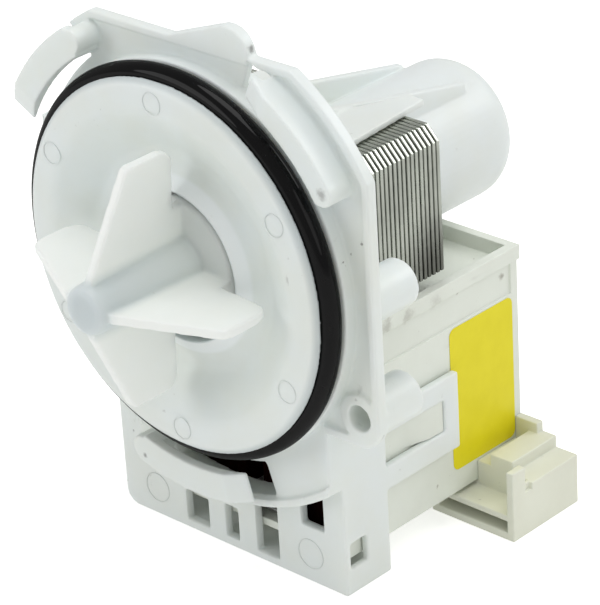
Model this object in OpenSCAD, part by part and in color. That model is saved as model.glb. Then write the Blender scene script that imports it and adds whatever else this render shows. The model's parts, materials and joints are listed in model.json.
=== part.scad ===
// Drain pump of a washing machine: a synchronous motor whose magnet turns inside a wet can,
// an impeller on the magnet's shaft, and a bayonet flange that closes the pump housing.
// The pump axis is Y, the impeller points to -Y and Z is up. The origin lies on the axis,
// in the plane where the seal ring's groove begins.

/* [Seal disc] */
// Diameter of the disc's rim
disc_d = 71; // [67:0.5:73]
// Thickness of the rim in front of the seal groove
rim_t = 1.4; // [1.2:0.1:2]
// Diameter of the seal ring's section
seal_d = 4; // [3.4:0.1:4.4]
// Width of the flat ring round the face
flat_w = 4.8; // [3:0.2:6]
// Depth of the dish inside the flat ring
dish_depth = 5.4; // [4.6:0.2:6.4]
// Radius of the dish's floor
dish_r = 20; // [19:0.5:22]
// Rounding of the dish's floor
dish_fillet = 5; // [3:0.5:5.5]
// Rounding where the flat ring falls into the dish
face_fillet = 6; // [2:0.5:8]
// Height of the collar round the mouth
collar_h = 3.4; // [2.4:0.2:4]
// Diameter of the mouth that the impeller's back plate turns in
mouth_d = 28.8; // [28:0.2:30]
// Wall of the disc and its skirt
disc_wall = 2.4; // [2:0.1:2.8]

/* [Rotor can] */
// Outer diameter of the can between the poles
can_d = 28; // [27:0.2:28.6]
// Wall of the can
can_wall = 1.2; // [1:0.1:1.5]
// Distance from the groove plane to the can's closed end
can_end = 80; // [78:0.5:86]
// Rounding of the can's closed end
can_round = 5.6; // [4:0.2:6]
// Wall of the wide neck that holds the front bearing
neck_wall = 2.2; // [1.6:0.2:3]
// Height of the two fins above the axis where they meet the flange
fin_root = 25; // [22:0.2:27]
// Height of the fins above the axis at their far ends
fin_tip = 13; // [12.6:0.1:15]
// Distance from the axis to each fin
fin_x = 7.7; // [7:0.1:8]
// Thickness of the fins
fin_t = 1.8; // [1.4:0.1:2]

/* [Flange] */
// Distance from the groove plane to the front of the flange's rib
flange_y = 6; // [5.4:0.1:6.4]
// Height of the rib above the plate
rib_h = 0.8; // [0.4:0.1:1.2]
// Width of the rib
rib_w = 1.6; // [1.2:0.1:2]
// Thickness of the plate
plate_t = 1.6; // [1.2:0.1:2]
// Radius of the right side's upper corner
corner_r = 48.7; // [48:0.1:50]
// Radius of the left side's upper corner
left_corner_r = 47.3; // [46.6:0.1:48]
// Distance from the axis to the left edge
flange_left = 38; // [37.6:0.2:41]
// Height of the top edge above the axis
flange_top = 41.4; // [41:0.1:43]
// Diameter of the lug on the top edge
lug_d = 10; // [8:0.2:11]
// Diameter of the plain post behind the right edge
post_d = 9; // [7:0.2:10]

/* [Locking screw] */
// Diameter of the hole for the locking screw
screw_d = 5; // [4:0.1:5.4]
// Wall round that hole
screw_wall = 2; // [1.6:0.1:2.2]
// Distance from the axis to the hole, to the right
screw_x = 37.4; // [37:0.1:39]
// Distance from the axis down to the hole
screw_drop = 20.6; // [19:0.2:22]
// Length of the hole
screw_len = 12; // [9:0.5:13]

/* [Bayonet hooks] */
// Gap between the seal ring and the hooks
hook_gap = 3; // [2.6:0.1:3.6]
// Radial width of the hooks
hook_w = 4.4; // [3.6:0.2:5]
// Thickness of the hooks
hook_t = 2.2; // [1.8:0.1:3]
// Distance that the hooks stand in front of the plate
hook_reach = 5.8; // [5.4:0.1:6.2]
// Diameter of the peg that carries each hook
peg_d = 4.6; // [3.8:0.2:5]

/* [Front box] */
// Distance from the underside of the case down to the resting plane
foot_h = 6.1; // [6:0.1:7]
// Thickness of the box's front wall
front_t = 2; // [1.6:0.2:2.6]
// Length of the box's sides
box_len = 12; // [10:0.5:12.4]
// Thickness of the box's floor
floor_t = 1.5; // [1.2:0.1:1.8]
// Thickness of the clip arms and the box's sides
clip_t = 1.6; // [1.2:0.1:2]

/* [Stator core] */
// Number of plates in the stack
plate_count = 16; // [12:1:20]
// Depth of the stack
core_depth = 18.6; // [17:0.2:20]
// Distance from the groove plane to the middle of the stack
core_mid = 35.1; // [34.6:0.1:36]
// Distance that the poles' outer sides stand inside the case's sides
pole_inset = 2; // [1.8:0.1:2.8]
// Distance from the axis to the pole tips
pole_in = 9.5; // [9.2:0.1:10]
// Distance from the axis up to the top of the poles
pole_top = 17.8; // [17.2:0.1:18.4]
// Distance from the axis down to the underside of the poles
pole_drop = 10.6; // [10:0.1:11]
// Air gap between the can and the poles
pole_gap = 0.6; // [0.3:0.05:0.8]
// Width of the legs inside the coils
leg_w = 7.5; // [6.5:0.1:7.8]
// Height of the yoke that joins the legs
yoke_h = 5.8; // [5:0.1:6]
// Diameter of the rivets through the stack
rivet_d = 3; // [2.4:0.1:3.4]

/* [Coils] */
// Wall of the bobbins
bobbin_wall = 1; // [0.8:0.1:1.1]
// Gap between the two taped coils
coil_gap = 5.4; // [4.4:0.1:6]
// Thickness of the winding in front of and behind its leg
winding_end_t = 10; // [6:0.2:10.4]
// Thickness of the tape round the winding
tape_t = 0.3; // [0.2:0.05:0.4]
// Height of the thermal cut-out
cutout_h = 10; // [8:0.5:12]
// Length of the thermal cut-out
cutout_len = 12; // [10:0.5:14]
// Diameter of the enamelled lead wires
lead_d = 1; // [0.8:0.05:1.05]

/* [Coil case] */
// Width of the case
case_w = 53.6; // [53.6:0.2:56]
// Wall of the case
case_wall = 1.6; // [1.2:0.1:1.65]
// Distance from the axis down to the rim of the case
case_top_drop = 12; // [11.4:0.1:12.4]
// Depth of the tray inside that rim
tray_depth = 3; // [2.4:0.1:3.2]
// Distance from the axis down to the underside of the case
case_drop = 56.2; // [56:0.1:57]
// Distance from the groove plane to the rear of the case
case_rear = 62.2; // [61:0.2:65]
// Width of the label on the case's right side
label_w = 18; // [12:0.5:19]
// Gap between the label and the edges round it
label_gap = 0.5; // [0.3:0.1:2]
// Thickness of the label
label_t = 0.12; // [0.08:0.01:0.15]

/* [Connector] */
// Width of the connector
plug_w = 20; // [19:0.2:21]
// Distance from the groove plane to the connector's front
plug_front = 43; // [41:0.2:45]
// Wall of the connector's shroud
plug_wall = 1.6; // [1.4:0.1:1.8]
// Depth of the socket
socket_depth = 14; // [13:0.2:14.2]
// Height of the socket
socket_h = 2.4; // [2:0.1:2.6]
// Width of each terminal blade
blade_w = 4.8; // [4:0.1:5.2]
// Thickness of each terminal blade
blade_t = 0.8; // [0.6:0.1:1]
// Distance between the two blades
blade_pitch = 8.4; // [7:0.2:9]

/* [Impeller] */
// Radius of the vanes
vane_r = 23.8; // [20:0.2:26]
// Thickness of the vanes
vane_t = 1.9; // [1.4:0.1:2.4]
// Length of the hub in front of the groove plane
nose_len = 22; // [18:0.5:24]
// Radius of the hub's nose
nose_r = 4.6; // [4:0.1:5.4]
// Radius of the back plate in the mouth
back_r = 12.6; // [11:0.1:13]
// Gap between the vanes and the collar
vane_gap = 1.1; // [0.6:0.1:1.6]
// Turn of the vanes away from upright at rest
vane_turn = -4; // [-45:1:45]

/* [Rotor] */
// Diameter of the shaft
shaft_d = 4; // [3:0.1:4.6]
// Running clearance of the shaft in its bearings, on the radius
running_gap = 0.05; // [0.02:0.01:0.09]
// Gap between the magnet and the can, on the radius
magnet_gap = 0.5; // [0.35:0.05:0.8]
// Length of the magnet
magnet_len = 27; // [24:0.5:27]
// Outer radius of the bearing bushes
bush_r = 4.5; // [4:0.1:4.8]
// Length of each bearing bush
bush_len = 7.4; // [6:0.1:7.6]
// Length of the dogs of the lost-motion coupling
dog_len = 7; // [5:0.2:7.4]
// Outer radius of the dogs
dog_r = 9; // [8.4:0.1:10]
// Angle that the magnet's dog takes up
drive_dog_deg = 70; // [40:1:80]
// Angle that the shaft's dog takes up with its buffer
driven_dog_deg = 100; // [80:1:110]
// Thickness of the rubber buffer on each flank, as an angle
buffer_deg = 20; // [12:1:24]

/* [Clearances] */
// Slip clearance between pieces that slide together
slip = 0.1; // [0.05:0.01:0.15]
// Axial play between pieces that turn past each other
play = 0.3; // [0.2:0.05:0.4]
// Gap between the clip arms and the case
clip_gap = 0.25; // [0.2:0.01:0.4]

/* [Hidden] */
$fn = 64;
eps = 0.01;
far = 200;

// Seal disc and groove
disc_r = disc_d / 2;
mouth_r = mouth_d / 2;
rim_bevel = 1.2;
rim_land = rim_t - 0.9;
groove_w = seal_d + slip;
groove_depth = seal_d * 0.475;
groove_r = disc_r - groove_depth;
shoulder_r = disc_r + groove_depth;
skirt_r = groove_r - disc_wall;
face_y = -rim_t;
flat_r = disc_r - rim_bevel - flat_w;
dish_y = face_y + dish_depth;
crest_y = dish_y - collar_h;

// Flange planes and edges
plate_y = flange_y + rib_h;
plate_back = plate_y + plate_t;
screw_z = -screw_drop;
screw_boss_r = screw_d / 2 + screw_wall;
flange_right = screw_x + screw_boss_r;
corner_z = screw_z - 1.2;
left_foot_r = left_corner_r - 3.2;
left_bend = -14.5;
foot_top = -27;
hook_r = groove_r + seal_d + hook_gap + hook_w / 2;
slot_r0 = hook_r - hook_w / 2 - 0.4;
slot_r1 = hook_r + hook_w / 2 + 1.8;
flange_foot_r = hook_r + hook_w / 2 + 3.9;
hook_y = plate_y - hook_reach;
hook_wall = 1.2;
slot_over = 1.8;
slot_start = 4.6;
// Start angle, end angle and added width of each hook, counter-clockwise seen from the front,
// then the inner radius, the outer radius and the overrun of the slot behind it
hook_spans = [[122, 153, 1.4, slot_r0, far, slot_over],
    [33, 63.5, 0, shoulder_r + 0.3, hook_r + hook_w / 2 - hook_wall, 3 * slot_over],
    [-108, -73, 1.4, slot_r0, slot_r1, slot_over]];
hook_tip_cut = 18;
lug_x = 11.2;
lug_rise = -0.3;
post_x = 35.8;
post_end = 19.8;

// Bore that holds the bearing carrier, and the can behind it
carrier_y = dish_y + 2.4;
carrier_len = 10;
carrier_end = carrier_y + carrier_len;
neck_r = mouth_r + neck_wall;
neck_end = carrier_end + 2.6;
fin_end = can_end - 9.6;
ledge_t = 1.3;
ledge_over = 4.9;
can_r = can_d / 2;
can_in_r = can_r - can_wall;
can_floor = can_end - 2.2;
cushion_r = bush_r + 2.4;
cushion_len = bush_len + 0.8;
cup_wall = 1.6;

// Front box, clips and case
case_half = case_w / 2;
clip_in = case_half + clip_gap;
clip_out = clip_in + clip_t;
box_y = flange_y + 4;
box_rear = box_y + box_len;
base_z = -case_drop - foot_h;
floor_z = base_z + floor_t;
corner_cut = 3;
web_top = -28;
rail_top = -40.6;
rail_low = -45.4;
arm_top = -29.7;
arm_low = -34;
clip_end = 42.4;
clip_bar = 4;
case_z0 = -case_drop;
case_z1 = -case_top_drop;
tray_z = case_z1 - tray_depth;
tray_t = 2;
case_front = box_y + front_t + 2 * slip;
can_relief = 0.4;
lip_out = 0.4;
band_depth = 0.4;
band_low = -21.4;
catch_len = 9;
catch_h = clip_t - 0.2;
catch_end = clip_end - clip_bar - slip;

// Stator core and coils
flange_over = tape_t + 0.2;
coil_out = case_half - case_wall - 2 * slip;
coil_inner = coil_gap / 2;
leg_x = (coil_out - flange_over + coil_inner + tape_t) / 2;
coil_x = leg_x - coil_inner - tape_t;
pole_out = case_half - pole_inset;
core_y0 = core_mid - core_depth / 2;
core_y1 = core_mid + core_depth / 2;
pole_r = can_r + pole_gap;
plate_pitch = core_depth / plate_count;
plate_gap = 0.04;
pole_z0 = -pole_drop;
yoke_z1 = case_z0 + case_wall + 4 * slip;
yoke_z0 = yoke_z1 - yoke_h;
yoke_half = leg_x + leg_w / 2;
bobbin_z1 = tray_z - tray_t - slip;
bobbin_z0 = yoke_z1 + slip;
tube_x = leg_w / 2 + slip + bobbin_wall;
tube_y = core_depth / 2 + slip + bobbin_wall;
coil_y = tube_y + winding_end_t;
coil_round = 3;
wind_z0 = bobbin_z0 + bobbin_wall;
wind_z1 = bobbin_z1 - bobbin_wall;
rivet_r = rivet_d / 2;
rivet_head_r = rivet_r + 1;
rivet_head_t = 0.8;
pole_rivet = [20.4, -2];
belly_half = yoke_half + case_wall + 2 * slip;
belly_y0 = core_y0 - case_wall - rivet_head_t - 2 * slip;
belly_y1 = core_y1 + case_wall + rivet_head_t + 2 * slip;
belly_z0 = yoke_z0 - case_wall;

// Connector
plug_left = case_half - 6.4;
plug_right = plug_left + plug_w;
step_low = case_z0 + 4.2;
guide = [case_half + 3.2, case_half + 8.6, case_z0 + 6.6];
rear_step = [case_half + 5.4, case_z0 + 8.7];
label_top = band_low - label_gap;
label_h = label_top - step_low - label_gap;
rear_t = 1.8;
step_front = plug_front + 6;
post_top = case_z0 + 8.4;
post_len = 3.8;
notch_len = 1.9;
socket_x0 = plug_left + plug_wall;
socket_x1 = plug_right - plug_wall;
socket_z0 = base_z + plug_wall;
socket_z1 = socket_z0 + socket_h;
roof_z = socket_z1 + 1.3;
socket_end = plug_front + socket_depth;
chamber_y0 = socket_end + 0.9;
chamber_y1 = case_rear - case_wall;
blade_mid = (socket_x0 + socket_x1) / 2;
blade_z = (socket_z0 + socket_z1) / 2;
blade_y0 = plug_front + 4;
blade_y1 = chamber_y1 - slip;
lead_r = lead_d / 2;
lead_y0 = chamber_y0 + slip + lead_r;
lead_y1 = chamber_y1 - slip - lead_r;

// Rotor, from the front to the rear
shaft_r = shaft_d / 2;
bore_r = shaft_r + running_gap;
seal_len = 2.4;
front_bush_y = carrier_y + seal_len;
front_bush_end = front_bush_y + bush_len;
washer_t = 0.8;
washer_r = bush_r - 0.3;
magnet_y0 = core_mid - magnet_len / 2;
magnet_y1 = core_mid + magnet_len / 2;
magnet_r = can_in_r - magnet_gap;
sleeve_r = bush_r;
collar_t = 2;
hub_y0 = carrier_end + play + washer_t + play;
hub_y1 = magnet_y1 + collar_t;
dog_in_r = sleeve_r + 1.1;
driven_y0 = hub_y1 + play;
driven_disc_y = hub_y1 + dog_len + 2 * play;
driven_disc_t = 2;
rear_bush_y = can_floor - cushion_len;
driven_end = rear_bush_y - washer_t - 2 * play;
driven_hub_r = sleeve_r - 0.2;
shaft_front = -nose_len + 5;
shaft_end = can_floor - 1;
back_y = crest_y + 1.2;
back_t = 2;
vane_back = crest_y - vane_gap;

// Revolves a profile of radius and distance along the pump axis
module lathe() {
    rotate([-90, 0, 0]) rotate_extrude() children();
}

// A ring about the pump axis
module ring_y(r_in, r_out, y0, y1) {
    translate([0, y0, 0]) rotate([-90, 0, 0]) difference() {
        cylinder(r = r_out, h = y1 - y0);
        translate([0, 0, -1]) cylinder(r = r_in, h = y1 - y0 + 2);
    }
}

// A round bar along Y at a place in the XZ plane
module rod_y(x, z, r, y0, y1) {
    translate([x, y0, z]) rotate([-90, 0, 0]) cylinder(r = r, h = y1 - y0);
}

// Extrudes an outline drawn in X and Z from y0 to y1
module slab_y(y0, y1) {
    translate([0, y1, 0]) rotate([90, 0, 0]) linear_extrude(y1 - y0) children();
}

// Extrudes an outline drawn in Y and Z from x0 to x1
module slab_x(x0, x1) {
    translate([x0, 0, 0]) rotate([90, 0, 90]) linear_extrude(x1 - x0) children();
}

// A box between two corners
module block(low, high) {
    translate(low) cube(high - low);
}

// A rectangle between two corners
module rect(low, high) {
    translate(low) square(high - low);
}

// A ring sector between two angles, drawn flat
module sector(r_in, r_out, a0, a1) {
    reach = 2 * r_out;
    middle = (a0 + a1) / 2;
    intersection() {
        difference() {
            circle(r = r_out);
            circle(r = r_in);
        }
        polygon([[0, 0], reach * [cos(a0), sin(a0)], reach * [cos(middle), sin(middle)],
            reach * [cos(a1), sin(a1)]]);
    }
}

// The same shape on both sides of the pump
module both_sides() {
    children();
    mirror([1, 0, 0]) children();
}

// A rectangle with rounded corners, centred
module round_rect(half_x, half_y, r) {
    square([2 * half_x, 2 * (half_y - r)], center = true);
    square([2 * (half_x - r), 2 * half_y], center = true);
    for (sx = [-1, 1]) {
        for (sy = [-1, 1]) {
            translate([sx * (half_x - r), sy * (half_y - r)]) circle(r = r);
        }
    }
}

// Two touching points and, between them, the centre of an arc that rounds a corner
function arc_points(first, corner, last, r) =
    let (to_first = (first - corner) / norm(first - corner),
        to_last = (last - corner) / norm(last - corner),
        middle = (to_first + to_last) / norm(to_first + to_last),
        half_turn = 90 - acos(to_first * middle),
        reach = r * tan(half_turn))
    [corner + reach * to_first, corner + middle * r / cos(half_turn), corner + reach * to_last];

// Points along such an arc
function arc_path(arc, steps) =
    let (r = norm(arc[0] - arc[1]),
        start = atan2(arc[0][1] - arc[1][1], arc[0][0] - arc[1][0]),
        end = atan2(arc[2][1] - arc[1][1], arc[2][0] - arc[1][0]))
    [for (i = [0 : steps])
        let (turn = start + (end - start) * i / steps)
        arc[1] + r * [cos(turn), sin(turn)]];

// Profile of the dished disc, its seal groove and the wall behind it
module disc_profile() {
    skin = disc_wall * 1.15;
    crest = [mouth_r, crest_y];
    valley = [dish_r, dish_y];
    ridge = [flat_r, face_y];
    rim_start = [disc_r - rim_bevel, face_y];
    floor_arc = arc_points(crest, valley, ridge, dish_fillet);
    face_arc = arc_points(valley, ridge, rim_start, face_fillet);
    difference() {
        polygon(concat([crest], floor_arc, arc_path(face_arc, 6),
            [rim_start, [disc_r, -rim_land], [disc_r, 0],
                [groove_r, 0], [groove_r, groove_w], [shoulder_r, groove_w],
                [shoulder_r, box_y + front_t], [skirt_r, box_y + front_t],
                [skirt_r, face_y + disc_wall], [flat_r, face_y + disc_wall],
                [dish_r, dish_y + skin], [mouth_r, dish_y + skin]]));
        translate(floor_arc[1]) circle(r = dish_fillet);
    }
}

// Profile of the can, from its wide neck to its closed end
module can_profile() {
    polygon([[mouth_r, crest_y + 1], [neck_r, crest_y + 2], [neck_r, neck_end],
        [can_r, neck_end + 2], [can_r, can_end - can_round], [can_r - can_round, can_end],
        [0, can_end], [0, can_floor], [can_in_r, can_floor], [can_in_r, carrier_end],
        [mouth_r, carrier_end]]);
    intersection() {
        translate([can_r - can_round, can_end - can_round]) circle(r = can_round);
        rect([can_r - can_round, can_end - can_round], [can_r, can_end]);
    }
    rect([cushion_r, can_floor - cushion_len], [cushion_r + cup_wall, can_floor + eps]);
}

// Outline of the flange, drawn in by an inset
module flange_outline(inset) {
    corner = screw_boss_r - inset;
    intersection() {
        circle(r = corner_r - inset);
        union() {
            rect([0, corner_z], [flange_right - inset, flange_top - inset]);
            rect([0, corner_z - corner], [screw_x, corner_z + 1]);
            translate([screw_x, corner_z]) circle(r = corner);
        }
    }
    intersection() {
        circle(r = left_corner_r - inset);
        rect([-flange_left + inset, left_bend], [eps, flange_top - inset]);
    }
    intersection() {
        circle(r = left_foot_r - inset);
        rect([-flange_left + inset, -far], [eps, left_bend + eps]);
    }
    intersection() {
        circle(r = flange_foot_r - inset);
        rect([-flange_foot_r * sin(24), -far], [clip_out, 0]);
    }
}

// Outline of the lug on the top edge, with its sloping shoulder
module lug_outline() {
    lug_z = flange_top + lug_rise;
    intersection() {
        translate([lug_x, lug_z]) circle(d = lug_d);
        rect([lug_x - lug_d, flange_top - rib_w], [lug_x + lug_d, flange_top + lug_d]);
    }
    polygon([[lug_x - 1.7 * lug_d, flange_top - 1], [lug_x, flange_top - 1],
        [lug_x, lug_z + lug_d / 2], [lug_x - 1.2, lug_z + lug_d / 2 - 0.1]]);
}

// The flange's plate with its rib, lug, screw boss and post
module flange_plate() {
    difference() {
        union() {
            slab_y(plate_y, plate_back) flange_outline(0);
            slab_y(flange_y, plate_y + eps) difference() {
                flange_outline(0);
                flange_outline(rib_w);
            }
            slab_y(plate_y, box_y + 0.5) intersection() {
                flange_outline(0);
                rect([-clip_out, -far], [clip_out, foot_top]);
            }
            slab_y(flange_y, plate_back) lug_outline();
            rod_y(screw_x, screw_z, screw_boss_r, flange_y, flange_y + screw_len);
            rod_y(post_x, 0, post_d / 2, plate_y, post_end);
        }
        rod_y(0, 0, skirt_r + eps, 0, far);
        rod_y(screw_x, screw_z, screw_d / 2, flange_y - 1, flange_y + screw_len + 1);
        for (span = hook_spans) {
            slab_y(flange_y - 1, box_y + 1)
                sector(span[3], span[4], span[0] + slot_start, span[1] + span[5]);
        }
    }
}

// One bayonet hook: an arm on a peg, with a slanted tip
module hook(a0, a1, wider) {
    middle = hook_r + wider / 2;
    tip = middle * [cos(a1), sin(a1)];
    difference() {
        slab_y(hook_y, hook_y + hook_t)
            sector(hook_r - hook_w / 2, hook_r + hook_w / 2 + wider, a0, a1);
        translate([tip[0], hook_y + hook_t * 0.7, tip[1]]) rotate([0, -a1, 0])
            rotate([-hook_tip_cut, 0, 0]) translate([-2 * hook_w, -9 * hook_t, -5 * hook_w])
            cube([4 * hook_w, 9 * hook_t, 10 * hook_w]);
    }
    rod_y(middle * cos(a0), middle * sin(a0), peg_d / 2, hook_y, plate_y + 1);
    slab_y(hook_y + hook_t / 2, plate_y + 1)
        sector(hook_r - hook_w / 2, hook_r + hook_w / 2 + wider - 1, a0, a0 + 4);
}

// Wall that joins the outer edge of one hook's arm to the flange
module hook_back(a0, a1) {
    slab_y(hook_y + hook_t * 0.75, plate_y + 1)
        sector(hook_r + hook_w / 2 - hook_wall, hook_r + hook_w / 2, a0, a1 - 2);
}

// A fin that ties the can to the back of the disc
module fin() {
    foot = 0.8 * can_r;
    root_y = dish_y + disc_wall;
    slab_x(fin_x - fin_t / 2, fin_x + fin_t / 2)
        polygon([[root_y, foot], [root_y, fin_root], [box_y + 1, fin_root],
            [fin_end, fin_tip], [fin_end, foot]]);
}

// Ledge above one pole, carried by the fin, ending at a distance behind the core's rear
module ledge(over) {
    low = pole_top + 2 * slip;
    translate([0, 0, low]) linear_extrude(ledge_t)
        polygon([[fin_x, plate_y], [fin_x, core_mid + 0.5 + (over - ledge_over) / 2],
            [fin_x + 5.3, core_y1 + over], [fin_x + 9.3, core_y1 + over - 0.3],
            [pole_out - 5.9, core_y0 + 2.2], [pole_out - 5.6, plate_y]]);
}

// Outline of the box's front wall, rounded at its lower left corner
module front_outline() {
    difference() {
        rect([-clip_out, base_z], [clip_out, web_top]);
        rect([-clip_out - 1, base_z - 1], [-clip_out + corner_cut, base_z + corner_cut]);
    }
    translate([-clip_out + corner_cut, base_z + corner_cut]) circle(r = corner_cut);
}

// Front wall, floor and sides of the box below the flange
module front_box() {
    window = [[-12.2, floor_z + 0.2, 5.8, 6.6], [-1.9, floor_z + 0.3, 3.4, 7],
        [6, floor_z, 5.7, 12], [17.8, floor_z + 10.2, 5.7, 8]];
    side_window = [1.4, 4.4, 3.7, 5.3];
    difference() {
        union() {
            slab_y(box_y, box_y + front_t) front_outline();
            block([-clip_out + corner_cut, box_y, base_z], [clip_out, box_rear, floor_z]);
            both_sides() slab_x(clip_in, clip_out) polygon([[box_y + eps, base_z + corner_cut],
                [box_y + corner_cut, base_z], [box_rear, base_z], [box_rear, rail_top],
                [box_y + 1.2, web_top], [box_y + eps, web_top]]);
        }
        rod_y(0, 0, skirt_r + eps, box_y - 1, box_y + front_t + 1);
        for (w = window) {
            block([w[0], box_y - 1, w[1]], [w[0] + w[2], box_y + front_t + 1, w[1] + w[3]]);
        }
        slab_y(box_y - 1, box_y + front_t + 1)
            sector(slot_r0, slot_r1, hook_spans[2][0] + slot_start, hook_spans[2][1] + slot_over);
        both_sides() block([clip_in - 1, box_y + side_window[0], floor_z + side_window[2]],
            [clip_out + 1, box_y + side_window[0] + side_window[1],
            floor_z + side_window[2] + side_window[3]]);
    }
}

// One clip loop that reaches back over the side of the coil case
module clip_loop() {
    difference() {
        slab_x(clip_in, clip_out) rect([box_y + eps, rail_low], [clip_end, arm_top]);
        slab_x(clip_in - 1, clip_out + 1)
            rect([box_rear, rail_top], [clip_end - clip_bar, arm_low]);
        slab_x(clip_in - 1, clip_out + 1) polygon([[box_y + 1.2 + eps, web_top],
            [box_rear + eps, rail_top], [box_rear + eps, arm_low], [box_y + 5.2, arm_low]]);
    }
}

// Flange, disc and can in one moulding, with the hooks, fins, box and clips
module pump_cover() {
    color("white") {
        difference() {
            union() {
                lathe() disc_profile();
                lathe() can_profile();
                both_sides() fin();
                ledge(ledge_over);
                mirror([1, 0, 0]) ledge(-1.5);
            }
            rod_y(0, 0, mouth_r, -far, carrier_end);
            rod_y(0, 0, can_in_r, carrier_end - 1, can_floor - cushion_len - 1);
        }
        flange_plate();
        for (span = hook_spans) {
            hook(span[0], span[1], span[2]);
        }
        hook_back(hook_spans[1][0], hook_spans[1][1]);
        front_box();
        both_sides() clip_loop();
    }
}

// Ring that seals the disc in the pump housing
module seal_ring() {
    color("black") lathe() translate([groove_r + seal_d / 2 + eps, groove_w / 2])
        circle(d = seal_d);
}

// Plate in the mouth that holds the front bearing and the shaft's seal
module bearing_carrier() {
    carrier_wall = 2;
    color("gainsboro") difference() {
        union() {
            ring_y(bush_r, mouth_r - eps, carrier_y, carrier_y + carrier_wall + seal_len);
            ring_y(bush_r, bush_r + carrier_wall, carrier_y, carrier_end);
            ring_y(can_in_r - carrier_wall, mouth_r - eps, carrier_y, carrier_end);
            for (a = [0 : 60 : 300]) {
                rotate([0, a, 0]) block([bush_r + 1, carrier_y + 1, -fin_t / 2],
                    [can_in_r - 1, carrier_end - 1, fin_t / 2]);
            }
        }
        ring_y(0, bush_r + 1, carrier_y - 1, front_bush_y);
    }
}

// Lip seal in front of the front bearing
module shaft_seal() {
    color("dimgray") {
        ring_y(shaft_r + 1, bush_r + 1 - eps, carrier_y, front_bush_y - eps);
        ring_y(bore_r, shaft_r + 1 + eps, carrier_y + 0.8, carrier_y + 1.6);
    }
}

// Sintered bush at the front
module front_bearing() {
    color("peru") ring_y(bore_r, bush_r, front_bush_y, front_bush_end);
}

// Sintered bush at the closed end of the can
module rear_bearing() {
    color("peru") ring_y(bore_r, bush_r, rear_bush_y, rear_bush_y + bush_len);
}

// Rubber cup that holds the rear bush in the can
module bearing_cushion() {
    color("dimgray") difference() {
        rod_y(0, 0, cushion_r, can_floor - cushion_len, can_floor);
        rod_y(0, 0, bush_r, can_floor - cushion_len - 1, rear_bush_y + bush_len);
        rod_y(0, 0, shaft_r + 0.4, can_floor - cushion_len - 1, can_floor + 1);
    }
}

// Outline of the right-hand limb: the pole round the can and the leg below it
module limb_outline() {
    cut_x = 1.8;
    cut_z = 2.8;
    difference() {
        union() {
            polygon([[pole_in, pole_z0], [pole_out, pole_z0], [pole_out, pole_top - cut_z],
                [pole_out - cut_x, pole_top], [pole_in, pole_top]]);
            rect([leg_x - leg_w / 2, yoke_z1], [leg_x + leg_w / 2, pole_z0 + eps]);
        }
        circle(r = pole_r);
        translate(pole_rivet) circle(r = rivet_r + eps);
    }
}

// Outline of the yoke that joins the two legs
module yoke_outline() {
    difference() {
        rect([-yoke_half, yoke_z0], [yoke_half, yoke_z1 - eps]);
        for (s = [-1, 1]) {
            translate([s * leg_x, (yoke_z0 + yoke_z1) / 2]) circle(r = rivet_r + eps);
        }
    }
}

// A stack of plates of one outline
module plate_stack() {
    for (i = [0 : plate_count - 1]) {
        slab_y(core_y0 + i * plate_pitch, core_y0 + (i + 1) * plate_pitch - plate_gap) children();
    }
}

// Plates of the left pole and leg
module core_limb_left() {
    color("slategray") plate_stack() mirror([1, 0]) limb_outline();
}

// Plates of the right pole and leg
module core_limb_right() {
    color("slategray") plate_stack() limb_outline();
}

// Plates of the yoke below the coils
module core_yoke() {
    color("slategray") plate_stack() yoke_outline();
}

// One rivet through the whole stack
module rivet(x, z) {
    y1 = core_y1 - plate_gap;
    rod_y(x, z, rivet_r, core_y0, y1);
    rod_y(x, z, rivet_head_r, core_y0 - rivet_head_t, core_y0);
    rod_y(x, z, rivet_head_r, y1, y1 + rivet_head_t);
}

// Rivets of the poles and of the yoke
module core_rivets() {
    color("silver") {
        for (s = [-1, 1]) {
            rivet(s * pole_rivet[0], pole_rivet[1]);
            rivet(s * leg_x, (yoke_z0 + yoke_z1) / 2);
        }
    }
}

// Flat outline of one coil at a distance from its bobbin's tube
module coil_outline(half_x, half_y) {
    translate([leg_x, core_mid]) round_rect(half_x, half_y, coil_round);
}

// Bobbin of the right-hand coil: a square tube with two flanges
module bobbin() {
    difference() {
        union() {
            translate([0, 0, bobbin_z0]) linear_extrude(bobbin_z1 - bobbin_z0)
                translate([leg_x, core_mid]) square([2 * tube_x, 2 * tube_y], center = true);
            for (z = [bobbin_z0, wind_z1]) {
                translate([0, 0, z]) linear_extrude(bobbin_wall)
                    coil_outline(coil_x + flange_over, coil_y + flange_over);
            }
        }
        translate([leg_x, core_mid, bobbin_z0 - 1]) linear_extrude(bobbin_z1 - bobbin_z0 + 2)
            square([leg_w + 2 * slip, core_depth + 2 * slip], center = true);
    }
}

// Winding of the right-hand coil
module winding() {
    translate([0, 0, wind_z0]) linear_extrude(wind_z1 - wind_z0) difference() {
        coil_outline(coil_x, coil_y);
        translate([leg_x, core_mid]) square([2 * tube_x, 2 * tube_y], center = true);
    }
}

// Tape round the right-hand winding
module coil_tape() {
    translate([0, 0, wind_z0 + slip]) linear_extrude(wind_z1 - wind_z0 - 2 * slip) difference() {
        coil_outline(coil_x + tape_t, coil_y + tape_t);
        coil_outline(coil_x, coil_y);
    }
}

// Former of the left coil
module bobbin_left() {
    color("ivory") mirror([1, 0, 0]) bobbin();
}

// Former of the right coil
module bobbin_right() {
    color("ivory") bobbin();
}

// Wire on the left former
module winding_left() {
    color("chocolate") mirror([1, 0, 0]) winding();
}

// Wire on the right former
module winding_right() {
    color("chocolate") winding();
}

// Tape round the left winding
module coil_tape_left() {
    color("maroon") mirror([1, 0, 0]) coil_tape();
}

// Tape round the right winding
module coil_tape_right() {
    color("maroon") coil_tape();
}

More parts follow.
